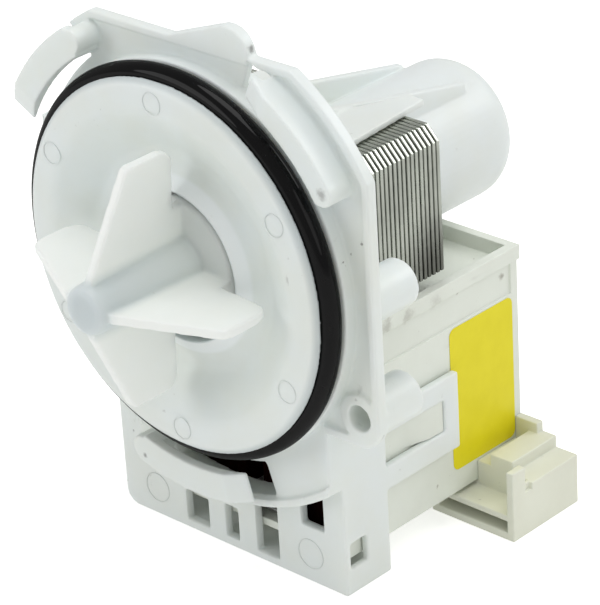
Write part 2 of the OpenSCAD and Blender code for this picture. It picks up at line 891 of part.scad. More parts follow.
// Thermal cut-out held between the two taped coils
module thermal_cutout() {
    half_x = coil_inner - slip;
    top = (wind_z0 + wind_z1) / 2 + cutout_h;
    color("dimgray") block([-half_x, core_mid - cutout_len / 2, top - cutout_h],
        [half_x, core_mid + cutout_len / 2, top]);
}

// A round wire along a list of points
module wire(points, r) {
    for (i = [0 : len(points) - 2]) {
        run = points[i + 1] - points[i];
        span = norm(run);
        translate(points[i]) rotate([0, acos(run[2] / span), atan2(run[1], run[0])])
            cylinder(r = r, h = span);
        translate(points[i]) sphere(r = r);
    }
    translate(points[len(points) - 1]) sphere(r = r);
}

// Leads from the coils to the terminal blades, and the link between the coils
module lead_wires() {
    coil_back = core_mid + coil_y + tape_t + lead_r + slip;
    link_y = coil_back + lead_r;
    high = -30;
    middle = -34;
    low = -40;
    blade_top = blade_z + blade_t / 2;
    drop_a = socket_x0 + 2.6;
    drop_b = socket_x0 + 1;
    run_z = blade_top + lead_r + 0.4;
    blade_x = blade_mid + blade_pitch / 2;
    color("firebrick") {
        wire([[leg_x, coil_back, high], [leg_x, lead_y1, high], [drop_a, lead_y1, high],
            [drop_a, lead_y1, blade_top + lead_r]], lead_r);
        wire([[-leg_x, coil_back, middle], [-leg_x, lead_y0, middle], [drop_b, lead_y0, middle],
            [drop_b, lead_y0, run_z], [blade_x, lead_y0, run_z],
            [blade_x, lead_y0, blade_top + lead_r]], lead_r);
        wire([[-leg_x, coil_back, low], [-leg_x, link_y, low], [leg_x, link_y, low],
            [leg_x, coil_back, low]], lead_r);
    }
}

// Open-fronted case round the two coils, with a tray on top, a catch on each side
// and a belly below for the yoke
module coil_case() {
    slot_half = leg_w / 2 + slip;
    slot_end = core_y1 + slip;
    in_half = case_half - case_wall;
    color("antiquewhite") {
        difference() {
            union() {
                block([-case_half, case_front, case_z0], [case_half, case_rear, case_z1]);
                block([-case_half - lip_out, case_front, tray_z],
                    [case_half + lip_out, case_rear + lip_out, case_z1]);
                block([-belly_half, belly_y0, belly_z0], [belly_half, belly_y1, case_z0 + eps]);
            }
            block([-in_half, case_front - 1, case_z0 + case_wall],
                [in_half, case_rear - case_wall, tray_z - tray_t]);
            block([-in_half, case_front - 1, tray_z], [in_half, case_rear - case_wall, case_z1 + 1]);
            block([-belly_half + case_wall, belly_y0 + case_wall, yoke_z0 - slip],
                [belly_half - case_wall, belly_y1 - case_wall, case_z0 + case_wall + 1]);
            both_sides() block([leg_x - slot_half, case_front - 1, tray_z - tray_t - 1],
                [leg_x + slot_half, slot_end, tray_z + 1]);
            both_sides() block([case_half - band_depth, case_front - 1, band_low],
                [case_half + 1, case_rear - 2, tray_z]);
            block([socket_x0, chamber_y0, case_z0 - 1], [in_half, chamber_y1, case_z0 + case_wall + 1]);
            rod_y(0, 0, can_r + can_relief, case_front - 1, case_rear + 1);
            rod_y(0, 0, neck_r + can_relief, case_front - 1, neck_end + 2 + can_relief);
        }
        both_sides() translate([0, 0, rail_top + slip]) linear_extrude(arm_low - rail_top - 2 * slip)
            polygon([[case_half - eps, catch_end - catch_len], [case_half + catch_h, catch_end - 4],
                [case_half + catch_h, catch_end], [case_half - eps, catch_end]]);
    }
}

// Shroud of the electrical socket, beside and below the case, open to the front
module connector_housing() {
    beside = case_half + eps;
    below = case_z0 - eps;
    notch_y = plug_front + post_len;
    color("antiquewhite") difference() {
        union() {
            slab_y(plug_front, case_rear) polygon([[plug_left, base_z], [plug_right, base_z],
                [plug_right, roof_z], [plug_left, roof_z]]);
            slab_y(step_front, case_rear) polygon([[plug_left, base_z], [plug_right, base_z],
                [plug_right, step_low], [guide[1], step_low], [guide[1], guide[2]],
                [guide[0], guide[2]], [guide[0], step_low], [beside, step_low], [beside, below],
                [plug_left, below]]);
            block([beside, case_rear - rear_t, step_low - 1], [rear_step[0], case_rear, rear_step[1]]);
            block([socket_x1, plug_front, base_z], [plug_right, case_rear, step_low]);
            block([socket_x1, plug_front, base_z], [plug_right, notch_y, post_top]);
        }
        block([socket_x0, plug_front - 1, socket_z0], [socket_x1, socket_end, socket_z1]);
        block([plug_right - 0.8, notch_y, step_low - 1.4], [plug_right + 1, notch_y + notch_len,
            step_low + 1]);
        block([socket_x0, chamber_y0, socket_z0], [socket_x1, chamber_y1, roof_z]);
        block([socket_x0, chamber_y0, socket_z1 - 1], [case_half - case_wall, chamber_y1, case_z0 + 1]);
        for (s = [-1, 1]) {
            blade_hole(blade_mid + s * blade_pitch / 2);
        }
    }
}

// Passage for one blade through the socket's rear wall
module blade_hole(x) {
    block([x - blade_w / 2 - eps, socket_end - 1, blade_z - blade_t / 2 - eps],
        [x + blade_w / 2 + eps, chamber_y0 + 1, blade_z + blade_t / 2 + eps]);
}

// Two flat blades in the socket
module terminal_blades() {
    color("silver") for (s = [-1, 1]) {
        x = blade_mid + s * blade_pitch / 2;
        block([x - blade_w / 2, blade_y0, blade_z - blade_t / 2],
            [x + blade_w / 2, blade_y1, blade_z + blade_t / 2]);
    }
}

// Plain label on the right side of the case
module rating_label() {
    label_mid = [case_rear - 1.9 - label_w / 2, label_top - label_h / 2];
    color("gold") slab_x(case_half, case_half + label_t)
        translate(label_mid) round_rect(label_w / 2, label_h / 2, 1.5);
}

// Outline of one vane from the axis outwards, as radius and distance along the axis
module vane_outline() {
    tip_y = -0.53 * nose_len;
    root_y = 1.6 - nose_len;
    polygon([[0, back_y + eps], [back_r - 0.4, back_y + eps], [back_r - 0.4, vane_back],
        [vane_r - 1.6, vane_back], [vane_r - 0.4, vane_back - 1], [vane_r, vane_back - 2.6],
        [vane_r, tip_y + 1.8], [vane_r - 0.2, tip_y + 0.6], [vane_r - 0.9, tip_y],
        [nose_r + 1, root_y], [0, root_y]]);
}

// Impeller: hub, back plate and four flat vanes
module impeller() {
    color("ghostwhite") difference() {
        union() {
            lathe() {
                polygon([[0, -nose_len], [nose_r - 1.2, -nose_len], [nose_r - 0.3, -nose_len + 0.4],
                    [nose_r, -nose_len + 1.4], [nose_r + 1.4, back_y], [back_r - 0.6, back_y],
                    [back_r, back_y + 0.6], [back_r, back_y + back_t], [0, back_y + back_t]]);
            }
            for (i = [0 : 3]) {
                rotate([0, -90 * i - vane_turn, 0]) translate([0, 0, -vane_t / 2])
                    linear_extrude(vane_t) vane_outline();
            }
        }
        rod_y(0, 0, shaft_r, shaft_front, back_y + back_t + 1);
    }
}

// Steel shaft from the impeller's hub to the rear bearing
module shaft() {
    color("lightsteelblue") rod_y(0, 0, shaft_r - eps / 10, shaft_front, shaft_end);
}

// Dog fixed to the shaft behind the magnet
module driven_dog() {
    dog_half = driven_dog_deg / 2 - buffer_deg;
    color("whitesmoke") difference() {
        union() {
            rod_y(0, 0, driven_hub_r, driven_y0, driven_end);
            rod_y(0, 0, dog_r + 0.6, driven_disc_y, driven_disc_y + driven_disc_t);
            slab_y(driven_y0, driven_disc_y + eps)
                sector(driven_hub_r - 1, dog_r - 0.8, -90 - dog_half, -90 + dog_half);
        }
        rod_y(0, 0, shaft_r, driven_y0 - 1, driven_end + 1);
    }
}

// Rubber shoe on the shaft's dog, which the magnet's dog strikes
module dog_buffer() {
    half = driven_dog_deg / 2;
    dog_half = half - buffer_deg;
    color("dimgray") slab_y(driven_y0, driven_disc_y - eps) difference() {
        sector(driven_hub_r + slip, dog_r, -90 - half, -90 + half);
        sector(0.1, dog_r - 0.8, -90 - dog_half, -90 + dog_half);
    }
}

// Washer between the front bearing and the magnet's hub
module thrust_washer_front() {
    color("khaki") ring_y(bore_r, washer_r, carrier_end + play, carrier_end + play + washer_t);
}

// Washer between the shaft's dog and the rear bearing
module thrust_washer_rear() {
    color("khaki") ring_y(bore_r, washer_r, driven_end + play, driven_end + play + washer_t);
}

// Ferrite magnet of the rotor
module rotor_magnet() {
    color("dimgray") ring_y(sleeve_r, magnet_r, magnet_y0, magnet_y1);
}

// Sleeve that carries the magnet on the shaft, with the driving dog at its rear
module magnet_hub() {
    half = drive_dog_deg / 2;
    color("whitesmoke") {
        ring_y(bore_r, sleeve_r, hub_y0, hub_y1);
        ring_y(sleeve_r - eps, dog_r, magnet_y1, hub_y1);
        slab_y(hub_y1 - eps, hub_y1 + dog_len) sector(dog_in_r, dog_r, 90 - half, 90 + half);
    }
}

pump_cover();
seal_ring();
bearing_carrier();
shaft_seal();
front_bearing();
rear_bearing();
bearing_cushion();
core_limb_left();
core_limb_right();
core_yoke();
core_rivets();
bobbin_left();
bobbin_right();
winding_left();
winding_right();
coil_tape_left();
coil_tape_right();
thermal_cutout();
lead_wires();
coil_case();
connector_housing();
terminal_blades();
rating_label();
impeller();
shaft();
driven_dog();
dog_buffer();
thrust_washer_front();
thrust_washer_rear();
rotor_magnet();
magnet_hub();
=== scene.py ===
"""Dressed visual model of a washing machine's drain pump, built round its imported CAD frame."""

from __future__ import annotations

import json
import logging
import math
from dataclasses import dataclass, field
from enum import Enum
from typing import Optional, Sequence

import bmesh
import bpy
from mathutils import Matrix, Vector
from mathutils.bvhtree import BVHTree

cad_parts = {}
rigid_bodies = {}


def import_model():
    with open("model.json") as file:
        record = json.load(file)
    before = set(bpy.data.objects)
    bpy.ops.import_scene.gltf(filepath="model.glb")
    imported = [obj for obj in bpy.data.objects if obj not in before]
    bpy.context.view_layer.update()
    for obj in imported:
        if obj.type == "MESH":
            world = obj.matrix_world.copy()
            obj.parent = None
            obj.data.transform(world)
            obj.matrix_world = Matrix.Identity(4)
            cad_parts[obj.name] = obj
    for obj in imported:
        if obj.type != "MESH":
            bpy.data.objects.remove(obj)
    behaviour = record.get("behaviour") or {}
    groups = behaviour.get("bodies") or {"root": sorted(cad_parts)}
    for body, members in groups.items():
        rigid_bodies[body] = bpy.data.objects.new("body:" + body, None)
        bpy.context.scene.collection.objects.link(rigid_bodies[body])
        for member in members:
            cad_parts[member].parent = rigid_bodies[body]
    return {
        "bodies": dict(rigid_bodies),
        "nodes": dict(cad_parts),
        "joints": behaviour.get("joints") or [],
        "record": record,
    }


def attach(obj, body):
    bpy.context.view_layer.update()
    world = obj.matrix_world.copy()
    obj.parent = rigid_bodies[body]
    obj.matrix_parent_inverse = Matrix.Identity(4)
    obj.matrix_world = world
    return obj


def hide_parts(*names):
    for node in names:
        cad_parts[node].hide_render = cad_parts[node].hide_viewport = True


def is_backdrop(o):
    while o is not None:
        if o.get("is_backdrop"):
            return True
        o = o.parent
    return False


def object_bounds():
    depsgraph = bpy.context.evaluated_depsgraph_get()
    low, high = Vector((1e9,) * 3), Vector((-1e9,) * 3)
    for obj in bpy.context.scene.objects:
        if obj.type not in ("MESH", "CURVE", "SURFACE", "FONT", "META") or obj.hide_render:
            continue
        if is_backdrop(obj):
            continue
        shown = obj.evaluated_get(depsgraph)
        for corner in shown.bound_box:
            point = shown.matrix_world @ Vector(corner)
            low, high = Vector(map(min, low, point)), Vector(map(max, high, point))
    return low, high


LOG = logging.getLogger("drain_pump")
MM = 0.001
NOISE_MIDDLE = 0.5
ROUND_AXIS = (math.pi / 2, 0.0, 0.0)  # Turn that lays a flat circle round the pump axis.
Colour = tuple[float, float, float]
Place = tuple[float, float, float]


class Body(Enum):
    """CAD bodies that the pieces ride on."""

    PUMP = "pump_body"
    IMPELLER = "impeller_rotor"
    MAGNET = "magnet_rotor"


class Effect(Enum):
    """Surface effects that more than one material uses, each a shader node group."""

    TONE = "cloudy_tone"
    SCUFFS = "scuff_marks"
    GRAIN = "moulded_grain"
    # Dark spots of grime, and a painted shadow on the core steel.
    GRIME_AND_SHADE_SPOT = "dark_smudge"
    # Zones of painted shade and painted highlights round the pump axis.
    PAINTED_LIGHT_BAND = "band_round_axis"


@dataclass(frozen=True)
class Pattern:
    """A noise pattern and the part of its range that shows.

    Attributes:
        scale: Waves per metre.
        detail: Number of octaves.
        rough: Share of the finer octaves.
        low: Noise value that gives 0.
        high: Noise value that gives 1.
    """

    scale: float
    detail: float
    rough: float
    low: float
    high: float


@dataclass(frozen=True)
class GrimeAndShadeSpot:
    """A dark spot on a surface, used for grime and for painted shadow.

    Attributes:
        at: Middle of the spot in millimetres.
        radius: Reach of the spot in millimetres.
        strength: Share of the finish's dark colour at its middle.
        ragged: How broken the spot's outline is.
    """

    at: Place
    radius: float
    strength: float = 0.8
    ragged: float = 1.3


@dataclass(frozen=True)
class PaintedLightBand:
    """A zone round the pump axis where shade or a highlight is painted into the colour.

    Attributes:
        start: Radius where the tint begins, in millimetres.
        full: Radius where it is full, in millimetres.
        colour: Its colour, linear.
        strength: Share of that colour where it is full.
        behind: Place along the axis that the tint stays in front of, in millimetres.
    """

    start: float
    full: float
    colour: Colour
    strength: float
    behind: float = 200.0


@dataclass(frozen=True)
class Finish:
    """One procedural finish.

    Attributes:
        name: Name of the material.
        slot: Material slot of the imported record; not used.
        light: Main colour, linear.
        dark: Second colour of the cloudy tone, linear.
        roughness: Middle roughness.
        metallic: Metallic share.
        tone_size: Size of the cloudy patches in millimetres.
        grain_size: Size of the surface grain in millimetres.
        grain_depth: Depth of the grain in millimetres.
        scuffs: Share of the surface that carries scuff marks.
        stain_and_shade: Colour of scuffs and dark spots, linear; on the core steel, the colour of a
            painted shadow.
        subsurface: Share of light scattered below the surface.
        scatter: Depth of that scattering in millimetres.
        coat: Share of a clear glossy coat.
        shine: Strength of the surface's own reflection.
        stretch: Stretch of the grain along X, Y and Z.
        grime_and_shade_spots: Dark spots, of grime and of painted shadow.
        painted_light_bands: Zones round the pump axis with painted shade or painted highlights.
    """

    name: str
    slot: str
    light: Colour
    dark: Colour
    roughness: float
    metallic: float = 0.0
    tone_size: float = 14.0
    grain_size: float = 0.5
    grain_depth: float = 0.004
    scuffs: float = 0.0
    stain_and_shade: Colour = (0.16, 0.15, 0.14)
    subsurface: float = 0.0
    scatter: float = 1.5
    coat: float = 0.0
    shine: float = 0.5
    stretch: Place = (1.0, 1.0, 1.0)
    grime_and_shade_spots: tuple[GrimeAndShadeSpot, ...] = ()
    painted_light_bands: tuple[PaintedLightBand, ...] = ()


MOUTH_R = 14.4  # Radius of the disc's mouth, in millimetres.
# Colour of the painted shade beside the seal ring and inside the disc's mouth.
SHADE_GREY = (0.40, 0.46, 0.475)

COVER_WHITE = Finish(
    "cover_white", "white_plastic", (0.80, 0.85, 0.845), (0.785, 0.82, 0.775), 0.4,
    scuffs=0.75, subsurface=0.35, scatter=2.5, tone_size=24.0,
    grime_and_shade_spots=(GrimeAndShadeSpot((15.6, 7.2, 42.6), 1.1, 0.9),
             GrimeAndShadeSpot((36.3, 1.0, 23.6), 1.6, 0.5),
             GrimeAndShadeSpot((-12.7, 1.0, -42.8), 0.8, 0.7)),
    # Painted shade on the rim beside the seal ring, a painted highlight on the mouth's collar, and
    # painted shade inside the mouth.
    painted_light_bands=(PaintedLightBand(34.0, 35.5, SHADE_GREY, 0.6, 0.3),
           PaintedLightBand(17.6, 16.8, (0.88, 0.92, 0.93), 0.8, 4.0),
           PaintedLightBand(MOUTH_R + 0.5, MOUTH_R, SHADE_GREY, 0.6, 9.0)))
CASE_CREAM = Finish(
    "case_cream", "cream_plastic", (0.80, 0.835, 0.76), (0.76, 0.79, 0.715), 0.42,
    scuffs=0.5, subsurface=0.08, stain_and_shade=(0.20, 0.17, 0.12),
    # A row of brownish dark spots along the case's right side, fading towards the back.
    grime_and_shade_spots=(GrimeAndShadeSpot((26.8, 25.2, -13.8), 2.6, 0.4),
             GrimeAndShadeSpot((26.8, 31.0, -14.0), 2.4, 0.35),
             GrimeAndShadeSpot((26.8, 38.6, -14.4), 2.2, 0.25),
             GrimeAndShadeSpot((26.8, 58.0, -17.1), 1.1, 0.9)))
SOCKET_CREAM = Finish(
    "socket_cream", "cream_plastic", (0.79, 0.805, 0.69), (0.75, 0.76, 0.645), 0.42,
    scuffs=0.3, subsurface=0.08)
VANE_MILK = Finish(
    "vane_milk", "impeller_plastic", (0.85, 0.885, 0.845), (0.83, 0.865, 0.82), 0.42,
    scuffs=0.12, subsurface=0.8, scatter=5.0,
    # Painted shade round the hub and the roots of the vanes.
    painted_light_bands=(PaintedLightBand(7.4, 3.6, (0.54, 0.60, 0.625), 0.85),))
CARRIER_GREY = Finish(
    "carrier_grey", "carrier_plastic", (0.72, 0.72, 0.70), (0.66, 0.66, 0.64), 0.45)
DARK_PLASTIC = Finish(
    "dark_plastic", "dark_plastic", (0.05, 0.05, 0.055), (0.035, 0.035, 0.04), 0.5)
SEAL_BLACK = Finish(
    "seal_black", "seal_rubber", (0.003, 0.003, 0.0033), (0.005, 0.005, 0.005), 0.24,
    grain_size=0.8, grain_depth=0.002, tone_size=9.0, shine=0.0, coat=0.3)
CORE_STEEL = Finish(
    "core_steel", "core_steel", (0.50, 0.525, 0.47), (0.38, 0.40, 0.355), 0.3, 0.92,
    tone_size=9.0, grain_size=0.25, grain_depth=0.006, stretch=(1.0, 4.0, 0.35),
    # Painted shadow: the large dark spot at the lower rear of the stacks, in the near-black colour
    # on this line.
    stain_and_shade=(0.07, 0.07, 0.06), grime_and_shade_spots=(GrimeAndShadeSpot((27.0, 42.0, -9.0), 15.0, 0.85, 0.2),))
BRIGHT_STEEL = Finish(
    "bright_steel", "bright_steel", (0.66, 0.66, 0.65), (0.52, 0.52, 0.51), 0.28, 1.0,
    tone_size=5.0, grain_size=0.2, grain_depth=0.003, stretch=(1.0, 0.2, 1.0))
BUSH_BRONZE = Finish(
    "bush_bronze", "bush_bronze", (0.50, 0.31, 0.15), (0.36, 0.21, 0.10), 0.45, 1.0,
    tone_size=2.0, grain_size=0.15, grain_depth=0.01)
WINDING_COPPER = Finish(
    "winding_copper", "winding_copper", (0.45, 0.16, 0.06), (0.30, 0.09, 0.035), 0.32, 0.85,
    grain_size=0.3, grain_depth=0.03, stretch=(0.1, 0.1, 1.0), coat=0.4)
TAPE_BROWN = Finish(
    "tape_brown", "coil_tape", (0.016, 0.004, 0.003), (0.010, 0.003, 0.002), 0.4,
    grain_size=0.6, grain_depth=0.008, shine=0.0)
LEAD_RED = Finish(
    "lead_red", "lead_insulation", (0.42, 0.03, 0.025), (0.32, 0.02, 0.018), 0.4)
FERRITE = Finish(
    "ferrite", "ferrite", (0.03, 0.03, 0.032), (0.02, 0.02, 0.022), 0.6,
    grain_size=0.3, grain_depth=0.01)
LABEL_YELLOW = Finish(
    "label_yellow", "label_yellow", (0.84, 0.74, 0.008), (0.80, 0.70, 0.007), 0.4,
    tone_size=6.0, grain_size=1.2, grain_depth=0.002, scuffs=0.15, shine=0.3)


class NodePen:
    """Adds and joins nodes in one node tree."""

    # The Mix node has one set of sockets for each data type. These are the colour's.
    MIX_FACTOR, MIX_FIRST, MIX_SECOND, MIX_RESULT = 0, 6, 7, 2

    def __init__(self, tree: bpy.types.NodeTree) -> None:
        """Keeps the tree.

        Args:
            tree: Tree that the nodes go into.
        """
        self.tree = tree

    def add(self, kind: str, **values: object) -> bpy.types.Node:
        """Adds a node.

        Args:
            kind: Type name of the node.
            values: Properties to set on it.

        Returns:
            The new node.
        """
        node = self.tree.nodes.new(kind)
        for name, value in values.items():
            setattr(node, name, value)
        return node

    def join(self, source: bpy.types.NodeSocket, target: bpy.types.NodeSocket) -> None:
        """Links an output to an input."""
        self.tree.links.new(source, target)

    def math(self, operation: str, first: object, second: object) -> bpy.types.NodeSocket:
        """Adds a Math node.

        Args:
            operation: Name of the operation.
            first: Socket or number.
            second: Socket or number.

        Returns:
            The result's socket.
        """
        node = self.add("ShaderNodeMath", operation=operation)
        for socket, value in zip(node.inputs, (first, second)):
            self.feed(value, socket)
        return node.outputs[0]

    def feed(self, value: object, socket: bpy.types.NodeSocket) -> None:
        """Links a socket, or sets a plain value, on an input."""
        if isinstance(value, bpy.types.NodeSocket):
            self.join(value, socket)
        else:
            socket.default_value = value

    def noise(self, vector: object, scale: object, detail: float,
              rough: float) -> bpy.types.NodeSocket:
        """Adds a noise texture.

        Args:
            vector: Coordinates.
            scale: Waves per metre, as a socket or a number.
            detail: Number of octaves.
            rough: Share of the finer octaves.

        Returns:
            The noise value's socket.
        """
        node = self.add("ShaderNodeTexNoise")
        self.feed(vector, node.inputs["Vector"])
        self.feed(scale, node.inputs["Scale"])
        node.inputs["Detail"].default_value = detail
        node.inputs["Roughness"].default_value = rough
        return node.outputs[0]

    def span(self, value: object, low: object, high: object) -> bpy.types.NodeSocket:
        """Maps a range to 0 to 1 with soft ends.

        Args:
            value: Value to map.
            low: Value that gives 0.
            high: Value that gives 1.

        Returns:
            The mapped value's socket.
        """
        node = self.add("ShaderNodeMapRange", interpolation_type="SMOOTHSTEP")
        self.feed(value, node.inputs["Value"])
        self.feed(low, node.inputs["From Min"])
        self.feed(high, node.inputs["From Max"])
        return node.outputs[0]

    def pattern(self, vector: object, kind: Pattern) -> bpy.types.NodeSocket:
        """Adds a noise texture and maps the part that shows to 0 to 1.

        Args:
            vector: Coordinates.
            kind: Pattern to add.

        Returns:
            The mapped value's socket.
        """
        noise = self.noise(vector, kind.scale, kind.detail, kind.rough)
        return self.span(noise, kind.low, kind.high)

    def blend(self, factor: object, first: object, second: object) -> bpy.types.NodeSocket:
        """Mixes two colours.

        Args:
            factor: Share of the second colour.
            first: First colour, as a socket or four numbers.
            second: Second colour, as a socket or four numbers.

        Returns:
            The mixed colour's socket.
        """
        node = self.add("ShaderNodeMix", data_type="RGBA")
        self.feed(factor, node.inputs[self.MIX_FACTOR])
        self.feed(first, node.inputs[self.MIX_FIRST])
        self.feed(second, node.inputs[self.MIX_SECOND])
        return node.outputs[self.MIX_RESULT]


class EffectGroups:
    """Shader node groups that the materials share."""

    # Octaves and share of the finer ones.
    TONE_NOISE = (5.0, 0.6)
    GRAIN_NOISE = (3.0, 0.55)
    SPOT_NOISE = (4.0, 0.6)
    # Noise values that give 0 and 1.
    TONE_SPAN = (0.3, 0.72)
    SPOT_SPAN = (0.1, 0.9)
    SPOT_SCALE = 900.0
    SCUFF_AREA = Pattern(55.0, 3.0, 0.6, 0.52, 0.70)
    SPECKS = Pattern(620.0, 2.0, 0.5, 0.69, 0.76)
    STREAKS = Pattern(520.0, 3.0, 0.55, 0.66, 0.78)
    STREAK_TURN = (0.4, 0.9, 0.5)
    STREAK_STRETCH = (1.0, 0.16, 0.45)
    STREAK_STRENGTH = 0.45

    def __init__(self) -> None:
        """Builds every group once."""
        self.groups: dict[Effect, bpy.types.NodeTree] = {
            Effect.TONE: self._tone(),
            Effect.SCUFFS: self._scuffs(),
            Effect.GRAIN: self._grain(),
            Effect.GRIME_AND_SHADE_SPOT: self._grime_and_shade_spot(),
            Effect.PAINTED_LIGHT_BAND: self._painted_light_band(),
        }

    @staticmethod
    def _frame(effect: Effect, inputs: Sequence[tuple[str, str]],
               output: str) -> tuple[NodePen, bpy.types.Node, bpy.types.Node]:
        """Makes an empty group with its sockets.

        Args:
            effect: Effect that the group gives.
            inputs: Names and socket types of the inputs.
            output: Name of the single float output.

        Returns:
            A pen, the input node and the output node.
        """
        tree = bpy.data.node_groups.new(effect.value, "ShaderNodeTree")
        for name, kind in inputs:
            tree.interface.new_socket(name, in_out="INPUT", socket_type=kind)
        tree.interface.new_socket(output, in_out="OUTPUT", socket_type="NodeSocketFloat")
        pen = NodePen(tree)
        return pen, pen.add("NodeGroupInput"), pen.add("NodeGroupOutput")

    def _tone(self) -> bpy.types.NodeTree:
        """Builds the cloudy mix of two tones."""
        pen, ins, outs = self._frame(
            Effect.TONE, (("Vector", "NodeSocketVector"), ("Scale", "NodeSocketFloat")), "Factor")
        noise = pen.noise(ins.outputs["Vector"], ins.outputs["Scale"], *self.TONE_NOISE)
        pen.join(pen.span(noise, *self.TONE_SPAN), outs.inputs["Factor"])
        return pen.tree

    def _scuffs(self) -> bpy.types.NodeTree:
        """Builds sparse specks and short rubbed streaks."""
        pen, ins, outs = self._frame(
            Effect.SCUFFS, (("Vector", "NodeSocketVector"), ("Share", "NodeSocketFloat")), "Mask")
        where = pen.pattern(ins.outputs["Vector"], self.SCUFF_AREA)
        specks = pen.pattern(ins.outputs["Vector"], self.SPECKS)
        turn = pen.add("ShaderNodeMapping")
        turn.inputs["Rotation"].default_value = self.STREAK_TURN
        turn.inputs["Scale"].default_value = self.STREAK_STRETCH
        pen.join(ins.outputs["Vector"], turn.inputs["Vector"])
        streaks = pen.pattern(turn.outputs[0], self.STREAKS)
        faint = pen.math("MULTIPLY", streaks, self.STREAK_STRENGTH)
        marks = pen.math("MULTIPLY", where, pen.math("MAXIMUM", specks, faint))
        pen.join(pen.math("MULTIPLY", marks, ins.outputs["Share"]), outs.inputs["Mask"])
        return pen.tree

    def _grain(self) -> bpy.types.NodeTree:
        """Builds the fine height of a moulded or stamped surface."""
        pen, ins, outs = self._frame(
            Effect.GRAIN, (("Vector", "NodeSocketVector"), ("Scale", "NodeSocketFloat")), "Height")
        height = pen.noise(ins.outputs["Vector"], ins.outputs["Scale"], *self.GRAIN_NOISE)
        pen.join(height, outs.inputs["Height"])
        return pen.tree

    def _grime_and_shade_spot(self) -> bpy.types.NodeTree:
        """Builds the mask of one ragged dark spot, used for grime and for painted shadow."""
        pen, ins, outs = self._frame(
            Effect.GRIME_AND_SHADE_SPOT, (("Vector", "NodeSocketVector"), ("Centre", "NodeSocketVector"),
                            ("Radius", "NodeSocketFloat"), ("Ragged", "NodeSocketFloat")), "Mask")
        gap = pen.add("ShaderNodeVectorMath", operation="DISTANCE")
        pen.join(ins.outputs["Vector"], gap.inputs[0])
        pen.join(ins.outputs["Centre"], gap.inputs[1])
        share = pen.math("DIVIDE", gap.outputs["Value"], ins.outputs["Radius"])
        near = pen.math("SUBTRACT", 1.0, share)
        noise = pen.noise(ins.outputs["Vector"], self.SPOT_SCALE, *self.SPOT_NOISE)
        uneven = pen.math("SUBTRACT", noise, NOISE_MIDDLE)
        ragged = pen.math("ADD", near, pen.math("MULTIPLY", uneven, ins.outputs["Ragged"]))
        pen.join(pen.span(ragged, *self.SPOT_SPAN), outs.inputs["Mask"])
        return pen.tree

    def _painted_light_band(self) -> bpy.types.NodeTree:
        """Builds the mask of one zone round the pump axis where shade or a highlight is painted."""
        pen, ins, outs = self._frame(
            Effect.PAINTED_LIGHT_BAND, (("Vector", "NodeSocketVector"), ("Start", "NodeSocketFloat"),
                          ("Full", "NodeSocketFloat"), ("Behind", "NodeSocketFloat")), "Mask")
        split = pen.add("ShaderNodeSeparateXYZ")
        pen.join(ins.outputs["Vector"], split.inputs[0])
        wide = pen.math("MULTIPLY", split.outputs["X"], split.outputs["X"])
        high = pen.math("MULTIPLY", split.outputs["Z"], split.outputs["Z"])
        radius = pen.math("POWER", pen.math("ADD", wide, high), 0.5)
        ring = pen.span(radius, ins.outputs["Start"], ins.outputs["Full"])
        ahead = pen.math("LESS_THAN", split.outputs["Y"], ins.outputs["Behind"])
        pen.join(pen.math("MULTIPLY", ring, ahead), outs.inputs["Mask"])
        return pen.tree

    def place(self, pen: NodePen, effect: Effect, **values: object) -> bpy.types.NodeSocket:
        """Puts a group into a material.

        Args:
            pen: Pen of the material's tree.
            effect: Effect to place.
            values: Value or socket for each named input.

        Returns:
            The group's output socket.
        """
        node = pen.add("ShaderNodeGroup")
        node.node_tree = self.groups[effect]
        for name, value in values.items():
            pen.feed(value, node.inputs[name])
        return node.outputs[0]


